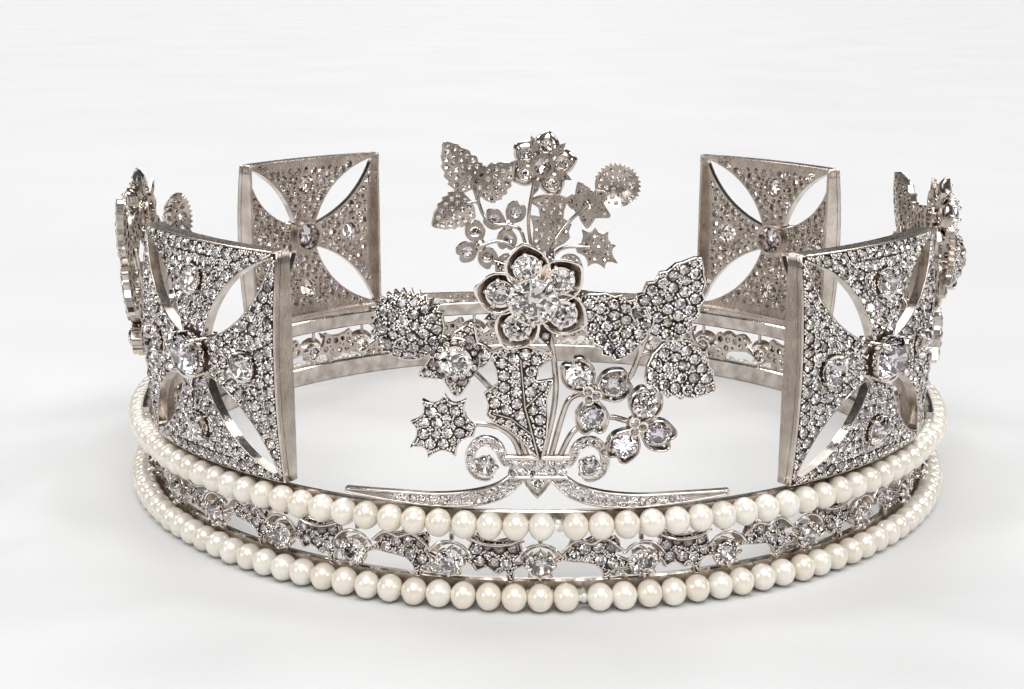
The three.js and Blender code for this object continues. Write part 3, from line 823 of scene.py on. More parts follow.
def square_loop(half, across_steps, up_steps):
    x, y = np.linspace(-half, half, across_steps + 1), np.linspace(-half, half, up_steps + 1)
    low = np.column_stack([x[:-1], np.full(across_steps, -half)])
    right = np.column_stack([np.full(up_steps, half), y[:-1]])
    return np.concatenate([low, right, -low, -right])


def cross_arm_loop():
    """Upper arm of the cross, between two lenses."""
    corner = CROSS_HALF - CROSS_LIP
    right, left = lens_edge(1, 1, -1), lens_edge(-1, 1, -1)
    return np.concatenate([right, [[corner, corner], [-corner, corner]], left[::-1]])


def quarter_turns(rows):
    """Rows of one arm, repeated on all four arms."""
    x, y, *sizes = np.asarray(rows).T
    places = ((x, y), (-y, x), (-x, -y), (y, -x))
    return np.concatenate([np.column_stack([*place, *sizes]) for place in places])


def back_hole(x, y, radius):
    """Opening behind a stone, narrower behind the paving than behind a large stone."""
    share = PAVING_BACK if radius < BRILLIANT_FROM else ARM_BACK
    return circle(x, y, share * radius, OPEN_SIDES)


def open_seat(x, y, radius):
    """Hole through the plate under a stone, its wall in the lighter silver that paints light coming through
    the stone.
    """
    front = at(circle(x, y, SEAT_SHARE * radius, OPEN_SIDES), CROSS_FRONT)
    return lofted([front, at(back_hole(x, y, radius), CROSS_PLATE_BACK)], PAINTED_LIGHT)


def blind_seat(x, y, radius):
    """Cone under a stone that isn't open behind, in the lighter silver that paints light coming through the
    stone.
    """
    mouth = circle(x, y, SEAT_SHARE * radius, SEAT_SIDES)
    tip = circle(x, y, BLIND_TIP["share"] * radius, SEAT_SIDES)
    return lofted([at(mouth, CROSS_FRONT), at(tip, CROSS_FRONT - BLIND_TIP["depth"] * radius)], PAINTED_LIGHT)


def cross_edge(loop):
    """Outside of the rim, with a groove that follows the front."""
    low, high, ease, deep = (CROSS_GROOVE[key] for key in ("low", "high", "ease", "deep"))
    lip, groove = inset(loop, CROSS_LIP), inset(loop, deep)
    return walls([
        at(lip, CROSS_BACK), at(loop, CROSS_BACK + CROSS_LIP), at(loop, low), at(groove, low + ease),
        at(groove, high - ease), at(loop, high), at(loop, CROSS_FRONT - CROSS_LIP), at(lip, CROSS_FRONT),
    ], SATIN)


def cross_collar():
    """Short tube behind the middle stone."""
    inner, outer = (circle(0, 0, CROSS_COLLAR[key], CROSS_COLLAR["sides"]) for key in ("inner", "outer"))
    low, high = CROSS_COLLAR["back"], CROSS_PLATE_BACK
    return walls([at(inner, high), at(inner, low), at(outer, low), at(outer, high)])


def cross_wire(loop):
    """Thin wire on the front of the plate."""
    return rim(loop, CROSS_FRONT, CROSS_WIRE["radius"], sides=EDGE_SIDES)


def cross_plate(open_rows, blind_rows):
    """Square plate with four lenses and a rim behind it, from the stones of its upper arm."""
    loop = square_loop(CROSS_HALF, *CROSS_STEPS)
    face = inset(loop, CROSS_LIP)
    hollow = square_loop(CROSS_HALF - CROSS_RIM, *CROSS_STEPS)
    lenses = [lens_loop(across, up) for across, up in ((1, 1), (-1, 1), (-1, -1), (1, -1))]
    all_open, all_blind = quarter_turns(open_rows), quarter_turns(blind_rows)
    front_holes = seats(all_open, OPEN_SIDES) + seats(all_blind)
    back_holes = [back_hole(*row) for row in all_open]
    middle = circle(0, 0, CROSS_COLLAR["inner"], CROSS_COLLAR["sides"])
    front, floor, back = CROSS_FRONT, CROSS_PLATE_BACK, CROSS_BACK
    arm = joined([open_seat(*row) for row in open_rows] + [blind_seat(*row) for row in blind_rows])
    return joined([
        # Front of the plate in the dark bed silver: painted shade between the stones
        sheet([face, *lenses, middle, *front_holes], front, PAINTED_SHADE_BED),
        sheet([hollow, *lenses, middle, *back_holes], floor, SATIN, up=False),
        sheet([face, hollow], back, SATIN, up=False),
        lofted([at(hollow, floor), at(hollow, back)], SATIN),
        # Wall of the middle opening in the lighter silver: painted light
        lofted([at(middle, front), at(middle, floor)], PAINTED_LIGHT),
        cross_edge(loop),
        cross_collar(),
        cross_wire(face),
        *(turned(arm, degrees) for degrees in (0, 90, 180, 270)),
        *(lofted([at(opening, front), at(opening, floor)]) for opening in lenses),
        *(cross_wire(inset(opening, -CROSS_WIRE["aside"])) for opening in lenses),
    ])


def cross_dome(points):
    """Raises the plate towards the middle of its height, and leaves the back of its rim."""
    x, y, z = points.T
    rise = CROSS_DOME * np.maximum(1 - (y / CROSS_HALF) ** 2, 0)
    return np.column_stack([x, y, z + rise * np.clip(z / CROSS_PLATE_BACK, 0, 1)])


def cross_foot():
    """Thin strip that joins the cross to the rail behind the pearls."""
    count = CROSS_FOOT["points"]
    x = np.linspace(-CROSS_FOOT["half"], CROSS_FOOT["half"], count)
    bottom = np.column_stack([x, np.full(count, UPPER_RAIL[1] - CROSS_MIDDLE)])
    top = np.column_stack([x[::-1], np.full(count, CROSS_FOOT["bite"] - CROSS_HALF)])
    return slab(np.concatenate([bottom, top]), *CROSS_FOOT["depth"], face=SATIN, edge=SATIN)


def cross():
    """Metal of a cross, and its stones but for the middle one."""
    jewel = Jewel(CROSS_SEED)
    reach, radius = ARM_REACH, ARM_STONE["radius"]
    keep_out = [(0, 0, CROSS_STONE["radius"] + CROSS_STONE_ROOM), (0, reach, radius + ARM_STONE_ROOM)]
    loop = cross_arm_loop()
    paving = packed(loop, CROSS_PAVING, CROSS_MARGIN, STONE_GAP, keep_out)
    beads = packed(loop, (BEAD_RADIUS,), BEAD_MARGIN, BEAD_GAP, [*keep_out, *paving])
    reaches = np.abs(paving[:, :2]).max(1) + PAVING_BACK * paving[:, 2]
    is_open = reaches < CROSS_HALF - CROSS_RIM - BACK_ROOM
    open_rows = [*paving[is_open], (0, reach, radius)]
    jewel.metal += [cross_plate(open_rows, paving[~is_open]), cross_foot()]
    jewel.set_stones(quarter_turns(paving), CROSS_FRONT + STONE_LIFT)
    jewel.set_beads(quarter_turns(beads), CROSS_FRONT)
    jewel.claw_setting(0, 0, CROSS_STONE, turn=np.pi / 4)
    arms = [(0, reach), (reach, 0), (0, -reach), (-reach, 0)]
    for x, y in arms:
        jewel.claw_setting(x, y, ARM_STONE, turn=np.pi / 4)
    jewel.set_stones([(x, y, radius) for x, y in arms], ARM_STONE["depth"])
    jewel.bend(cross_dome)
    return jewel


# Sprays

def leaf_loop(base, tip, width):
    """Egg-shaped leaf with a pointed tip and saw teeth along both edges."""
    base, tip = np.array(base), np.array(tip)
    along = tip - base
    across = np.array([-along[1], along[0]]) / np.linalg.norm(along)

    def edge(side):
        rows = []
        for tooth in range(LEAF_TEETH):
            for part in TOOTH:
                place = (tooth + part["place"]) / LEAF_TEETH
                half = width / 2 * np.interp(place, LEAF_STATIONS, LEAF_HALVES) * part["swell"]
                rows.append(base + along * place + across * side * half)
        return rows

    return np.array([base, *edge(-1), tip, *edge(1)[::-1]])


def rose_leaf(jewel, base, tip, width):
    """Paved leaf folded along its midrib."""
    metal_from, stones_from = jewel.marks()
    jewel.pave(leaf_loop(base, tip, width), *LEAF_DEPTH, PAVING)
    along = np.subtract(tip, base) / math.dist(tip, base)

    def fold(points):
        aside = np.abs((points[:, :2] - base) @ np.array([-along[1], along[0]]))
        return points + np.outer(aside * LEAF_FOLD, [0, 0, 1])

    jewel.bend(fold, metal_from, stones_from)


def big_leaf(jewel):
    """Large leaf with raised veins and a hem along its folded tip."""
    front = BIG_LEAF_DEPTH[1]
    jewel.pave(np.array(BIG_LEAF), *BIG_LEAF_DEPTH, PAVING, ribs=BIG_LEAF_RIBS)
    for start, end, half in BIG_LEAF_RIBS:
        jewel.metal.append(wire(np.linspace(start, end, 5), front, half))
    hem = spline(BIG_LEAF_HEM["corners"], 4)
    jewel.metal.append(wire(hem, front - BIG_LEAF_HEM["sink"], BIG_LEAF_HEM["radius"]))


def spiky_leaf(jewel):
    """Leaf with hollow edges between its spikes, and a straight neck."""
    tips = [*SPIKES, *SPIKY_NECK]
    rows = []
    for here, ahead in zip(tips, tips[1:] + tips[:1]):
        hollow = (np.array(here) + ahead) / 2
        rows.append(bow(here, hollow + (SPIKY_MIDDLE - hollow) * SPIKY_HOLLOW, ahead, 5))
    rows[-2] = np.array(tips[-2:-1], float)
    jewel.pave(np.concatenate(rows), *LEAF_DEPTH, PAVING)


def thistle_head(jewel):
    """Domed head with paved rows and a saw-toothed rim."""
    x, y, radius, rise = (THISTLE_HEAD[key] for key in ("x", "y", "radius", "rise"))
    teeth = THISTLE_TEETH
    count = 2 * teeth["count"]
    angle = turns(count)
    toothed = (angle > math.radians(teeth["from"])) & (angle < math.radians(teeth["to"]))
    saw = np.where(np.arange(count) % 2, teeth["valley"], teeth["peak"])
    reach = radius + np.where(toothed, saw, teeth["bare"])
    loop = np.stack([x + reach * np.cos(angle), y + THISTLE_HEAD["squash"] * reach * np.sin(angle)], 1)
    large = [(x + across, y + up, size) for across, up, size in THISTLE_LARGE]
    metal_from, stones_from = jewel.marks()
    jewel.pave(loop, *THISTLE_HEAD["depth"], THISTLE_PAVING, large=large)

    def dome(points):
        away = (((points[:, :2] - [x, y]) / radius) ** 2).sum(1)
        return points + np.outer(rise * np.maximum(1 - away, 0), [0, 0, 1])

    jewel.bend(dome, metal_from, stones_from)


def thistle_cup(jewel):
    """Large claw-set stone in a ring of small ones, with paved sepals round it."""
    for degrees, tip in SEPALS:
        loop = spline(pointed_loop(THISTLE_CUP, degrees, SEPAL_EDGE, tip), 4, closed=True)
        jewel.pave(loop, *SEPAL_DEPTH, PAVING, smooth=True)
    collar = circle(*THISTLE_CUP, THISTLE_COLLAR["radius"], HUB_SIDES)
    hole = circle(*THISTLE_CUP, THISTLE_COLLAR["hole"], HUB_HOLE_SIDES)
    spots = circle(*THISTLE_CUP, THISTLE_RING["reach"], THISTLE_RING["stones"])
    ring = [(*spot, THISTLE_RING["radius"]) for spot in spots]
    back, front = THISTLE_COLLAR["depth"]
    jewel.metal.append(slab(collar, back, front, [hole, *seats(ring)], smooth=True))
    jewel.set_stones(ring, front + STONE_LIFT)
    jewel.claw_stone(*THISTLE_CUP, THISTLE_STONE)


def rose_petal(jewel, degrees):
    """Cupped pointed petal with a claw-set stone in its hollow."""
    turn = math.radians(degrees)
    middle = ROSE + PETAL["reach"] * heading(turn)[0]
    around = turns(PETAL["sides"])
    from_tip = np.minimum(around, 2 * np.pi - around)
    reach = PETAL["radius"] + PETAL["point"] * np.exp(-(from_tip / PETAL["sharp"]) ** 2)
    ways = np.stack([np.cos(around + turn), np.sin(around + turn)], 1)
    rings = [at(middle + share * reach[:, None] * ways, depth) for share, depth in PETAL_RINGS]
    # Skins in their finishes: dark silver as painted shade in the hollow, lighter silver as painted
    # highlight over the lip
    for chosen, finish in PETAL_SKINS:
        jewel.metal.append(lofted(rings[chosen][::-1], finish))
    jewel.claw_stone(*middle, PETAL_STONE, turn)


def rose_point(jewel, degrees):
    """Leaf point between two petals, with a stone and a bead."""
    back, front = POINT["depth"]
    out = heading(math.radians(degrees))[0]
    place = ROSE + out * POINT_STONE["reach"]
    hole = circle(*place, POINT_STONE["hole"], SEAT_SIDES)
    loop = pointed_loop(ROSE, degrees, POINT_EDGE, POINT["tip"])
    jewel.metal.append(slab(loop, back, front, [hole], POINT["chamfer"]))
    jewel.set_stones([(*place, POINT_STONE["radius"])], POINT_STONE["depth"])
    jewel.set_beads([(*(ROSE + out * POINT_BEAD["reach"]), POINT_BEAD["radius"])], front)


def rose(jewel):
    """Five petals round the setting of a large stone, with leaf points between them."""
    for degrees in PETAL_ANGLES:
        rose_petal(jewel, degrees)
    hub = circle(*ROSE, ROSE_HUB["radius"], HUB_SIDES)
    hole = circle(*ROSE, ROSE_HUB["hole"], HUB_HOLE_SIDES)
    jewel.metal.append(slab(hub, *ROSE_HUB["depth"], [hole], smooth=True))
    jewel.claw_setting(*ROSE, ROSE_STONE)
    for here, ahead in zip(PETAL_ANGLES, PETAL_ANGLES[1:] + [PETAL_ANGLES[0] + 360]):
        rose_point(jewel, (here + ahead) / 2)


def heart_leaf(jewel, middle, turn):
    """Heart-shaped bezel with a round stone held by beads."""
    mirrored = [(along, -aside) for along, aside in HEART[-2:0:-1]]
    along, aside = np.hsplit(spline([*HEART, *mirrored], 5, closed=True), 2)
    out, across = heading(turn)
    place = middle + HEART_STONE["reach"] * out
    hole = circle(*place, HEART_STONE["hole"], HEART_STONE["sides"])
    jewel.metal.append(tray(middle + along * out + aside * across, hole, **HEART_TRAY))
    jewel.set_stones([(*place, HEART_STONE["radius"])], HEART_STONE["depth"])
    grips = [place + HEART_STONE["radius"] * heading(turn + grip)[0] for grip in HEART_GRIP["turns"]]
    jewel.set_beads([(*grip, HEART_GRIP["radius"]) for grip in grips], HEART_GRIP["depth"])


def shamrock(jewel, middle, angles):
    """Three heart-shaped leaves, and a knob with a cluster of stones where they meet."""
    for degrees in angles:
        heart_leaf(jewel, np.array(middle), math.radians(degrees))
    knob = bent(KNOB_DOME, lambda points: points * KNOB["size"])
    jewel.metal.append(moved(knob, *middle, KNOB["base"]))
    for spot in circle(*middle, KNOB["reach"], KNOB["stones"]):
        jewel.claw_stone(*spot, KNOB_STONE)


def paved_strip(jewel, way, half, depth, stones, rim_radius):
    """Strip with raised rims along both edges and stones between them."""
    back, front = depth
    loop = strip_loop(way, half)
    (ax, ay), (bx, by) = loop[1] - loop[0], loop[-1] - loop[0]
    if ax * by < ay * bx:
        loop = loop[::-1]
    edge = inset(loop, rim_radius * STRIP_RIM_INSET)
    jewel.metal.append(slab(loop, back, front, seats(stones), chamfer=STRIP_CHAMFER, face=POLISHED))
    # Rims in the lighter silver: painted highlight
    jewel.metal.append(rim(edge, front + rim_radius / 2, rim_radius, PAINTED_LIGHT))
    jewel.set_stones(stones, front + STONE_LIFT)


def spray_arm(jewel, side):
    """Long arm along the rail: two rows of stones by the buckle, then one of ever smaller ones."""
    rows = spline(ARM_ROWS, 8)
    way, half = rows[:, :2] * [side, 1], rows[:, 2]
    run = np.concatenate([[0], np.cumsum(np.linalg.norm(np.diff(way, axis=0), axis=1))])
    left = left_of(np.gradient(way, axis=0))
    end = run[-1] - ARM["bare"]

    def at_run(place, aside):
        return [np.interp(place, run, (way + left * aside)[:, axis]) for axis in (0, 1)]

    stones, place = [], ARM_PAVING["start"]
    while place < end:
        width = np.interp(place, run, half) - ARM_PAVING["edge"]
        two_rows = place < ARM_PAVING["two_rows"]
        size = width / 2 if two_rows else width * ARM_PAVING["share"]
        for aside in ((size, -size) if two_rows else (0.0,)):
            stones.append((*at_run(place, aside), size))
        place += ARM_PAVING["pitch"] * size
    paved_strip(jewel, way, half, ARM["depth"], stones, ARM["rim"])
    bare = run > end
    for share in ARM_LINES["shares"]:
        line = way[bare] + (left * half[:, None])[bare] * share
        jewel.metal.append(wire(line, ARM_LINES["depth"], ARM_LINES["radius"]))


def scroll(jewel, side):
    """Strip that rises from the buckle, turns over and coils round a stone."""
    x, y = SCROLL["x"], SCROLL["y"]
    part = np.linspace(0, 1, SCROLL["points"])
    angle = np.pi * (SCROLL_HALF_TURNS["start"] - SCROLL_HALF_TURNS["sweep"] * part)
    reach = SCROLL["open"] * (1 - SCROLL["close"] * part)
    coil = np.stack([x + reach * SCROLL["narrow"] * np.cos(angle), y + reach * np.sin(angle)], 1)
    way = np.concatenate([spline([*SCROLL_RISE, coil[0]], 3)[:-1], coil]) * [side, 1]
    half = np.interp(np.linspace(0, 1, len(way)), SCROLL_STRIP["stations"], SCROLL_STRIP["halves"])
    chosen = range(SCROLL_PAVING["first"], len(way) - 2, SCROLL_PAVING["every"])
    stones = [(*way[i], half[i] * SCROLL_PAVING["share"]) for i in chosen]
    paved_strip(jewel, way, half, SCROLL_STRIP["depth"], stones, SCROLL_STRIP["rim"])
    across, up = SCROLL_STONE_ASIDE
    jewel.claw_stone(side * (x + across), y + up, SCROLL_STONE)


def buckle(jewel):
    """Waisted clasp with two rows of stones between thick rims."""
    back, front = BUCKLE_DEPTH
    plate = front - BUCKLE_SINK
    loop = np.concatenate([spline(BUCKLE[:3], 4), spline(BUCKLE[3:], 4)])
    places = np.linspace(-BUCKLE_STONES["half"], BUCKLE_STONES["half"], BUCKLE_STONES["count"])
    stones = [(x, y, BUCKLE_STONES["radius"]) for y in BUCKLE_STONES["heights"] for x in places]
    jewel.metal.append(slab(loop, back, plate, seats(stones), face=POLISHED))
    jewel.set_stones(stones, plate + STONE_LIFT)
    for bar in BUCKLE_BARS:
        way = [(x, bar["height"]) for x in np.linspace(-bar["half"], bar["half"], 9)]
        # Bars in the lighter silver: painted highlight
        jewel.metal.append(wire(way, front - BUCKLE_BAR_SINK, bar["thick"], PAINTED_LIGHT, 8))


def drop(jewel):
    """Heart-shaped drop below the buckle."""
    edge = spline(DROP_EDGE, 4)
    loop = np.concatenate([edge, edge[-2:0:-1] * [-1, 1]])
    hole = circle(*DROP_STONE["place"], DROP_STONE["hole"], DROP_STONE["sides"])
    jewel.metal.append(tray(loop, hole, **DROP_TRAY))
    jewel.set_stones([(*DROP_STONE["place"], DROP_STONE["radius"])], DROP_STONE["depth"])


def spray():
    """Metal of a spray, and its stones but for the middle one of the rose."""
    jewel = Jewel(SPRAY_SEED)
    for way in STEMS.values():
        jewel.metal.append(wire(spline(way, 6), 0.0, STEM_RADIUS, sides=8))
    for leaf in LEAVES:
        rose_leaf(jewel, **leaf)
    big_leaf(jewel)
    spiky_leaf(jewel)
    thistle_head(jewel)
    thistle_cup(jewel)
    rose(jewel)
    for place in SHAMROCKS:
        shamrock(jewel, **place)
    buckle(jewel)
    drop(jewel)
    for side in (1, -1):
        scroll(jewel, side)
        spray_arm(jewel, side)
    return jewel


# Band

def brow(jewel, way):
    """Flaring hood along a line, with a wire on its edge in the lighter silver, a painted highlight."""
    jewel.metal.append(ribbon(way, BROW))
    jewel.metal.append(wire(way, BROW[0][1], BROW_WIRE, PAINTED_LIGHT))


def frieze_leaf(jewel, corners, brows):
    """Paved leaf of the frieze under one or two flaring brows."""
    loop = spline(corners, 3, closed=True)
    jewel.pave(loop, *FRIEZE_DEPTH, FRIEZE_PAVING, smooth=True)
    for way in brows:
        brow(jewel, spline(way, 6))


def scroll_tail(jewel):
    """Curl of stones from the leaf to the foot of the next setting."""
    way = spline(SCROLL_TAIL, 5)
    half = np.linspace(*TAIL["half"], len(way))
    stones = [(*way[i], TAIL_PAVING["radius"]) for i in TAIL_PAVING["steps"]]
    paved_strip(jewel, way, half, TAIL["depth"], stones, TAIL["rim"])


def frieze_setting(jewel):
    """Claw setting of a frieze stone under its arched cap, with posts to both rails."""
    height = FRIEZE_STONE_HEIGHT
    jewel.claw_setting(0, height, FRIEZE_STONE)
    angle = np.radians(np.linspace(90 + HOOD["spread"], 90 - HOOD["spread"], HOOD["steps"]))
    brow(jewel, np.stack([HOOD["reach"] * np.cos(angle), height + HOOD["reach"] * np.sin(angle)], 1))
    lower_post = (LOWER_RAIL[1] - POST["bite"], height - POST["below"])
    upper_post = (height + POST["above"], UPPER_RAIL[0] + POST["bite"])
    for low, high in (lower_post, upper_post):
        way = [(0, low), (0, (low + high) / 2), (0, high)]
        jewel.metal.append(wire(way, POST["depth"], POST["radius"]))


def rail(low, high):
    """Flat ring with rounded edges."""
    inner, outer, ease = RAIL_INNER, RAIL_OUTER, RAIL_ROUND
    profile = [
        (outer - ease, low), (outer, low + ease), (outer, high - ease), (outer - ease, high),
        (inner + ease, high), (inner, high - ease), (inner, low + ease), (inner + ease, low),
    ]
    return lathe(profile, RAIL_STEPS)


def scroll_degrees():
    return [FRIEZE_START_DEG + i * FRIEZE_REPEAT_DEG for i in range(FRIEZE_REPEATS)]


def stone_degrees():
    asides = (-FRIEZE_STONE_DEG, FRIEZE_STONE_DEG)
    return [middle + aside for middle in scroll_degrees() for aside in asides]


def band():
    """Metal and paving of the whole band."""
    leaf, hanging, setting = Jewel(SCROLL_LEAF_SEED), Jewel(HANGING_LEAF_SEED), Jewel(FRIEZE_SETTING_SEED)
    frieze_leaf(leaf, SCROLL_LEAF, SCROLL_BROWS)
    scroll_tail(leaf)
    frieze_leaf(hanging, HANGING_LEAF, HANGING_BROWS)
    frieze_setting(setting)
    jewel = Jewel(BAND_SEED)
    jewel.metal += [rail(*LOWER_RAIL), rail(*UPPER_RAIL)]
    places = [(leaf, degrees) for degrees in scroll_degrees()]
    places += [(hanging, degrees + FRIEZE_REPEAT_DEG / 2) for degrees in scroll_degrees()]
    places += [(setting, degrees) for degrees in stone_degrees()]
    for part, degrees in places:
        jewel.metal.append(turned(wrapped(joined(part.metal), FRIEZE_RADIUS), degrees))
        if part.stones:
            jewel.stones.append(turned(wrapped(joined(part.stones), FRIEZE_RADIUS), degrees))
    return jewel


# Pearls

def knots(place, draw):
    """Lumps of thread in the gap of a string."""
    count = KNOT["lumps"]
    lumps = place + draw.normal(0, KNOT["spread"], (count, 3))
    axes = np.tile(np.eye(3) * KNOT["radius"], (count, 1, 1))
    return stamped(KNOT_LUMP, lumps, axes, np.full(count, KNOT["tone"]))


def pearl_string(height, knot_degrees, seed):
    """A row of slightly uneven pearls on a thread, with a knotted gap in front."""
    draw = np.random.default_rng(seed)
    count = PEARL_COUNT
    pitch = (360 - KNOT_GAP_DEG) / count
    degrees = knot_degrees + KNOT_GAP_DEG / 2 + pitch * (np.arange(count) + 0.5)
    angle = np.radians(degrees + draw.normal(0, UNEVEN["degrees"], count))
    size = 1 + draw.normal(0, UNEVEN["size"], (count, 3))
    out = np.stack([np.sin(angle), -np.cos(angle), np.zeros(count)], 1)
    along = np.stack([np.cos(angle), np.sin(angle), np.zeros(count)], 1)
    down = np.tile([0.0, 0.0, -1.0], (count, 1))
    axes = np.stack([out * PEARL_RADIUS, down * PEARL_RADIUS, along * PEARL_ALONG], 2) * size[:, None]
    centres = out * (PEARL_RING + draw.normal(0, UNEVEN["out"], count))[:, None]
    centres[:, 2] = height + draw.normal(0, UNEVEN["up"], count)
    pearls = stamped(PEARL, centres, axes, draw.random(count))
    knot = math.radians(knot_degrees)
    gap = np.array([PEARL_RING * math.sin(knot), -PEARL_RING * math.cos(knot), height])
    thread = lathe(circle(PEARL_RING, height, THREAD["radius"], THREAD["sides"]), count)
    return joined([pearls, knots(gap, draw), thread])


# Materials

def new_material(name):
    material = bpy.data.materials.new(name)
    material.use_nodes = True
    return material, material.node_tree, material.node_tree.nodes["Principled BSDF"]


def set_values(shader, values):
    for name, value in values.items():
        shader.inputs[name].default_value = value


def add_node(tree, kind, inputs, **settings):
    node = tree.nodes.new(kind)
    for key, value in settings.items():
        setattr(node, key, value)
    for key, value in inputs.items():
        if isinstance(value, bpy.types.NodeSocket):
            tree.links.new(value, node.inputs[key])
        else:
            node.inputs[key].default_value = value
    return node


def maths(tree, operation, *values):
    inputs = dict(enumerate(values))
    return add_node(tree, "ShaderNodeMath", inputs, operation=operation).outputs["Value"]


def noise(tree, scale, stretch=(1, 1, 1), detail=3.0):
    """Noise over the object's own coordinates, with a scale in lumps for each metre."""
    place = add_node(tree, "ShaderNodeTexCoord", {})
    mapping = add_node(tree, "ShaderNodeMapping", {"Vector": place.outputs["Object"], "Scale": stretch})
    inputs = {"Vector": mapping.outputs["Vector"], "Scale": scale, "Detail": detail}
    return add_node(tree, "ShaderNodeTexNoise", inputs).outputs["Fac"]


def own_tone(tree):
    """Tone of each stone or pearl, from nought to one."""
    return add_node(tree, "ShaderNodeAttribute", {}, attribute_name="tone").outputs["Fac"]


def ramp(tree, factor, *stops):
    """Colours at places along a factor."""
    node = add_node(tree, "ShaderNodeValToRGB", {"Fac": factor})
    elements = node.color_ramp.elements
    while len(elements) < len(stops):
        elements.new(0.5)
    for element, (place, colour) in zip(elements, stops):
        element.position = place
        element.color = (*colour, 1)
    return node.outputs["Color"]


def spread(tree, factor, low, high):
    """Middle part of a noise, spread between two values."""
    inputs = {"Value": factor, "From Min": 0.3, "From Max": 0.7, "To Min": low, "To Max": high}
    return add_node(tree, "ShaderNodeMapRange", inputs).outputs["Result"]


def set_bump(tree, shader, height, strength, distance_mm=0.05):
    inputs = {"Height": height, "Strength": strength, "Distance": distance_mm * MM}
    tree.links.new(add_node(tree, "ShaderNodeBump", inputs).outputs["Normal"], shader.inputs["Normal"])


def metal(name, dark, light, rough, scale, bump, stretch=(1, 1, 1)):
    """Silver with cloudy colour, uneven gloss and fine tool marks."""
    material, tree, shader = new_material(name)
    cloud = noise(tree, scale)
    marks = noise(tree, 4 * scale, stretch)
    set_values(shader, {"Metallic": 1.0})
    tree.links.new(ramp(tree, cloud, (0.3, dark), (0.7, light)), shader.inputs["Base Color"])
    tree.links.new(spread(tree, marks, *rough), shader.inputs["Roughness"])
    set_bump(tree, shader, marks, bump)
    return material


def polished_silver():
    dark, light = (0.42, 0.365, 0.32), (0.76, 0.70, 0.64)
    return metal("silver_polished", dark, light, rough=(0.06, 0.2), scale=350, bump=0.25)


def satin_silver():
    dark, light = (0.46, 0.395, 0.345), (0.72, 0.645, 0.575)
    return metal("silver_satin", dark, light, rough=(0.22, 0.36), scale=180, bump=0.35, stretch=(3, 3, 0.6))


# Dark copy of the silver for the bed between stones, the hollows of petals and the front of the cross
# plates: painted shade
def painted_shade_silver():
    dark, light = (0.022, 0.015, 0.011), (0.10, 0.072, 0.055)
    return metal("silver_painted_shade", dark, light, rough=(0.3, 0.5), scale=600, bump=0.5)


# Lighter copy of the silver: painted light on the walls of holes under stones, as if lit through them, and
# brighter beads, wires, claws and rims
def painted_light_silver():
    dark, light = (0.68, 0.62, 0.565), (0.93, 0.88, 0.83)
    return metal("silver_painted_light", dark, light, rough=(0.05, 0.16), scale=500, bump=0.15)


def cut_crystal():
    """Clear stone; each one has its own faint tint."""
    material, tree, shader = new_material("cut_crystal")
    stops = ((0.0, (0.98, 0.93, 0.885)), (0.6, (0.86, 0.775, 0.725)), (1.0, (0.86, 0.78, 0.84)))
    tree.links.new(ramp(tree, own_tone(tree), *stops), shader.inputs["Base Color"])
    set_values(shader, {"Transmission Weight": 1.0, "IOR": 2.3, "Roughness": 0.0})
    return material


def pearl_nacre():
    """Ivory nacre under a clear gloss; each pearl has its own tone and faint clouds."""
    material, tree, shader = new_material("pearl_nacre")
    clouds = noise(tree, 260, detail=4.0)
    shade = maths(tree, "MULTIPLY", maths(tree, "ADD", own_tone(tree), clouds), 0.5)
    stops = ((0.2, (0.81, 0.725, 0.60)), (0.5, (0.85, 0.785, 0.67)), (0.8, (0.89, 0.84, 0.75)))
    tree.links.new(ramp(tree, shade, *stops), shader.inputs["Base Color"])
    tree.links.new(spread(tree, clouds, 0.2, 0.3), shader.inputs["Roughness"])
    set_values(shader, {
        "Subsurface Weight": 0.4,
        "Subsurface Radius": (1.0, 0.75, 0.5),
        "Subsurface Scale": 1.0 * MM,
        "Coat Weight": 1.0,
        "Coat Roughness": 0.26,
        "Coat IOR": 2.6,
    })
    set_bump(tree, shader, noise(tree, 900), 0.08)
    return material


def floor_paint():
    material, tree, shader = new_material("floor_paint")
    stops = ((0.3, (0.67, 0.67, 0.67)), (0.7, (0.71, 0.71, 0.71)))
    tree.links.new(ramp(tree, noise(tree, 6), *stops), shader.inputs["Base Color"])
    set_values(shader, {"Roughness": 0.6})
    return material


# Pieces

def make_piece(name, shape, materials, slot, *nodes):
    """A mesh object that rides with the circlet and stands for some of the frame's nodes."""
    mesh = bpy.data.meshes.new(name)
    mesh.vertices.add(len(shape.points))
    mesh.vertices.foreach_set("co", (shape.points * MM).astype(np.float32).ravel())
    mesh.loops.add(shape.faces.size)
    mesh.loops.foreach_set("vertex_index", shape.faces.astype(np.int32).ravel())
    mesh.polygons.add(len(shape.faces))
    mesh.polygons.foreach_set("loop_start", np.arange(0, shape.faces.size, 3, dtype=np.int32))
    mesh.polygons.foreach_set("material_index", shape.finish.astype(np.int32))
    mesh.polygons.foreach_set("use_smooth", shape.smooth)
    tone = mesh.attributes.new("tone", "FLOAT", "POINT")
    tone.data.foreach_set("value", shape.tone.astype(np.float32))
    for material in materials:
        mesh.materials.append(material)
    mesh.update(calc_edges=True)
    piece = bpy.data.objects.new(name, mesh)
    bpy.context.scene.collection.objects.link(piece)
    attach(piece, BODY)
    if nodes:
        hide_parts(*nodes)


def one_stone(x, y, stone, seed):
    jewel = Jewel(seed)
    jewel.set_stones([(x, y, stone["radius"])], stone["depth"])
    return jewel.stones[0]


def make_pearls(nacre):
    for name, row in PEARL_ROWS.items():
        make_piece(f"{name}_pearl_string", pearl_string(**row), [nacre], "pearl", f"{name}_pearls")


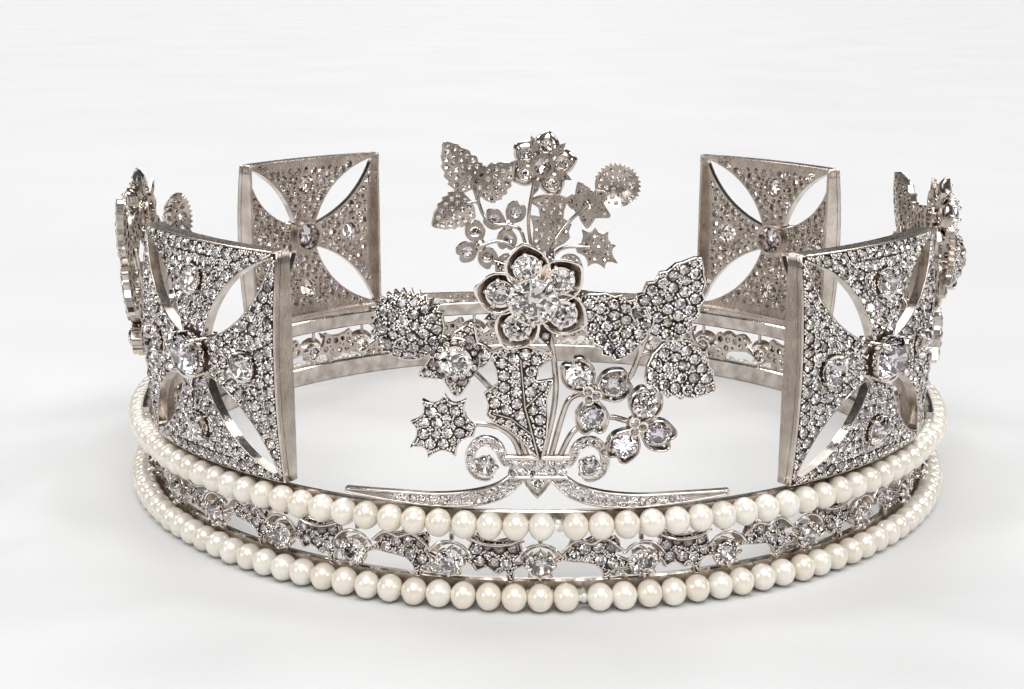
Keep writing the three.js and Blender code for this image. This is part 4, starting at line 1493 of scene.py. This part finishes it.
def make_band(silver, crystal):
    jewel = band()
    make_piece("band_metal", joined(jewel.metal), silver, "silver", "band")
    make_piece("band_paving", joined(jewel.stones), crystal, "crystal")
    for i, degrees in enumerate(stone_degrees(), start=1):
        stone = one_stone(0, FRIEZE_STONE_HEIGHT, FRIEZE_STONE, FRIEZE_STONE_SEED + i)
        shape = turned(wrapped(stone, FRIEZE_RADIUS), degrees)
        make_piece(f"frieze_stone_{i:02d}", shape, crystal, "crystal", f"band_stone_{i:02d}")


def make_copies(kind, places, shapes, stone_node, silver, crystal):
    """Metal, paving and middle stone of one ornament at each of its places."""
    for place, degrees in places.items():
        metal_shape, paving, stone = (turned(shape, degrees) for shape in shapes)
        make_piece(f"{kind}_{place}_metal", metal_shape, silver, "silver", f"{kind}_{place}")
        make_piece(f"{kind}_{place}_paving", paving, crystal, "crystal")
        make_piece(f"{kind}_{place}_stone", stone, crystal, "crystal", f"{stone_node}_{place}")


def make_crosses(silver, crystal):
    jewel = cross()
    middle = bent(one_stone(0, 0, CROSS_STONE, CROSS_STONE_SEED), cross_dome)
    flat = (joined(jewel.metal), joined(jewel.stones), middle)
    shapes = [wrapped(shape, CROSS_RADIUS, CROSS_MIDDLE) for shape in flat]
    make_copies("cross", CROSS_PLACES, shapes, "cross_stone", silver, crystal)


def make_sprays(silver, crystal):
    jewel = spray()
    middle = one_stone(*ROSE, ROSE_STONE, ROSE_STONE_SEED)
    flat = (joined(jewel.metal), joined(jewel.stones), middle)
    shapes = [wrapped(shape, SPRAY_RADIUS, UPPER_RAIL[1], SPRAY_LEAN, SPRAY_BEND) for shape in flat]
    make_copies("spray", SPRAY_PLACES, shapes, "rose_stone", silver, crystal)


# Stage

def make_floor():
    bpy.ops.mesh.primitive_circle_add(vertices=64, radius=FLOOR_RADIUS_M, fill_type="NGON")
    floor = bpy.context.object
    floor.name = "floor"
    floor.data.materials.append(floor_paint())


def soft_rows(tree, value, pitch, middle):
    """Soft rows along a value: one in the middle of each pitch and nought half a pitch away."""
    turn = maths(tree, "MULTIPLY_ADD", value, 2 * math.pi / pitch, -2 * math.pi * middle / pitch)
    wave = maths(tree, "MULTIPLY_ADD", maths(tree, "COSINE", turn), 0.5, 0.5)
    return maths(tree, "POWER", wave, PANELS["fall"])


def lamp_disc(tree, place, way, degrees):
    """One in a disc round a direction, and nought elsewhere."""
    inputs = {0: place, 1: Vector(way).normalized()}
    near = add_node(tree, "ShaderNodeVectorMath", inputs, operation="DOT_PRODUCT").outputs["Value"]
    return maths(tree, "GREATER_THAN", near, math.cos(math.radians(degrees)))


def make_world():
    """Dim room under a ceiling with rows of bright panels and a few lamps."""
    world = bpy.data.worlds.new("studio")
    bpy.context.scene.world = world
    world.use_nodes = True
    tree = world.node_tree
    place = add_node(tree, "ShaderNodeTexCoord", {}).outputs["Generated"]
    way = add_node(tree, "ShaderNodeSeparateXYZ", {"Vector": place}).outputs
    height = maths(tree, "ADD", way["Z"], PANELS["dome"])
    across = soft_rows(tree, maths(tree, "DIVIDE", way["X"], height), *PANELS["across"])
    ahead = soft_rows(tree, maths(tree, "DIVIDE", way["Y"], height), *PANELS["ahead"])
    light = maths(tree, "MULTIPLY", maths(tree, "MULTIPLY", across, ahead), PANELS["light"])
    for lamp in LAMPS:
        disc = lamp_disc(tree, place, lamp["way"], lamp["spread"])
        light = maths(tree, "MULTIPLY_ADD", disc, lamp["light"], light)
    room = ramp(tree, way["Z"], *ROOM)
    total = add_node(tree, "ShaderNodeVectorMath", {0: room, 1: light}, operation="ADD")
    tree.links.new(total.outputs["Vector"], tree.nodes["Background"].inputs["Color"])


def set_tones():
    view = bpy.context.scene.view_settings
    view.view_transform = "Standard"
    view.exposure = 0.0


def make_camera():
    data = bpy.data.cameras.new("camera")
    data.lens = LENS_MM
    data.sensor_width = SENSOR_MM
    data.sensor_fit = "HORIZONTAL"
    data.shift_x, data.shift_y = CAMERA_SHIFT
    data.clip_start = CAMERA_CLIP_M
    camera = bpy.data.objects.new("camera", data)
    rise = math.radians(CAMERA_ELEVATION)
    target = Vector((0, 0, CAMERA_TARGET * MM))
    away = Vector((0, -math.cos(rise), math.sin(rise)))
    turn = (-away).to_track_quat("-Z", "Y").to_matrix().to_4x4()
    roll = Matrix.Rotation(math.radians(CAMERA_ROLL), 4, "Z")
    camera.matrix_world = Matrix.Translation(target + away * CAMERA_DISTANCE * MM) @ turn @ roll
    bpy.context.scene.collection.objects.link(camera)
    bpy.context.scene.camera = camera


make_camera()
make_floor()
make_world()
set_tones()
# Silver slots: polished, satin, the dark bed as painted shade, the lighter silver as painted light
SILVER = [polished_silver(), satin_silver(), painted_shade_silver(), painted_light_silver()]
CRYSTAL = [cut_crystal()]
make_pearls(pearl_nacre())
make_band(SILVER, CRYSTAL)
make_crosses(SILVER, CRYSTAL)
make_sprays(SILVER, CRYSTAL)
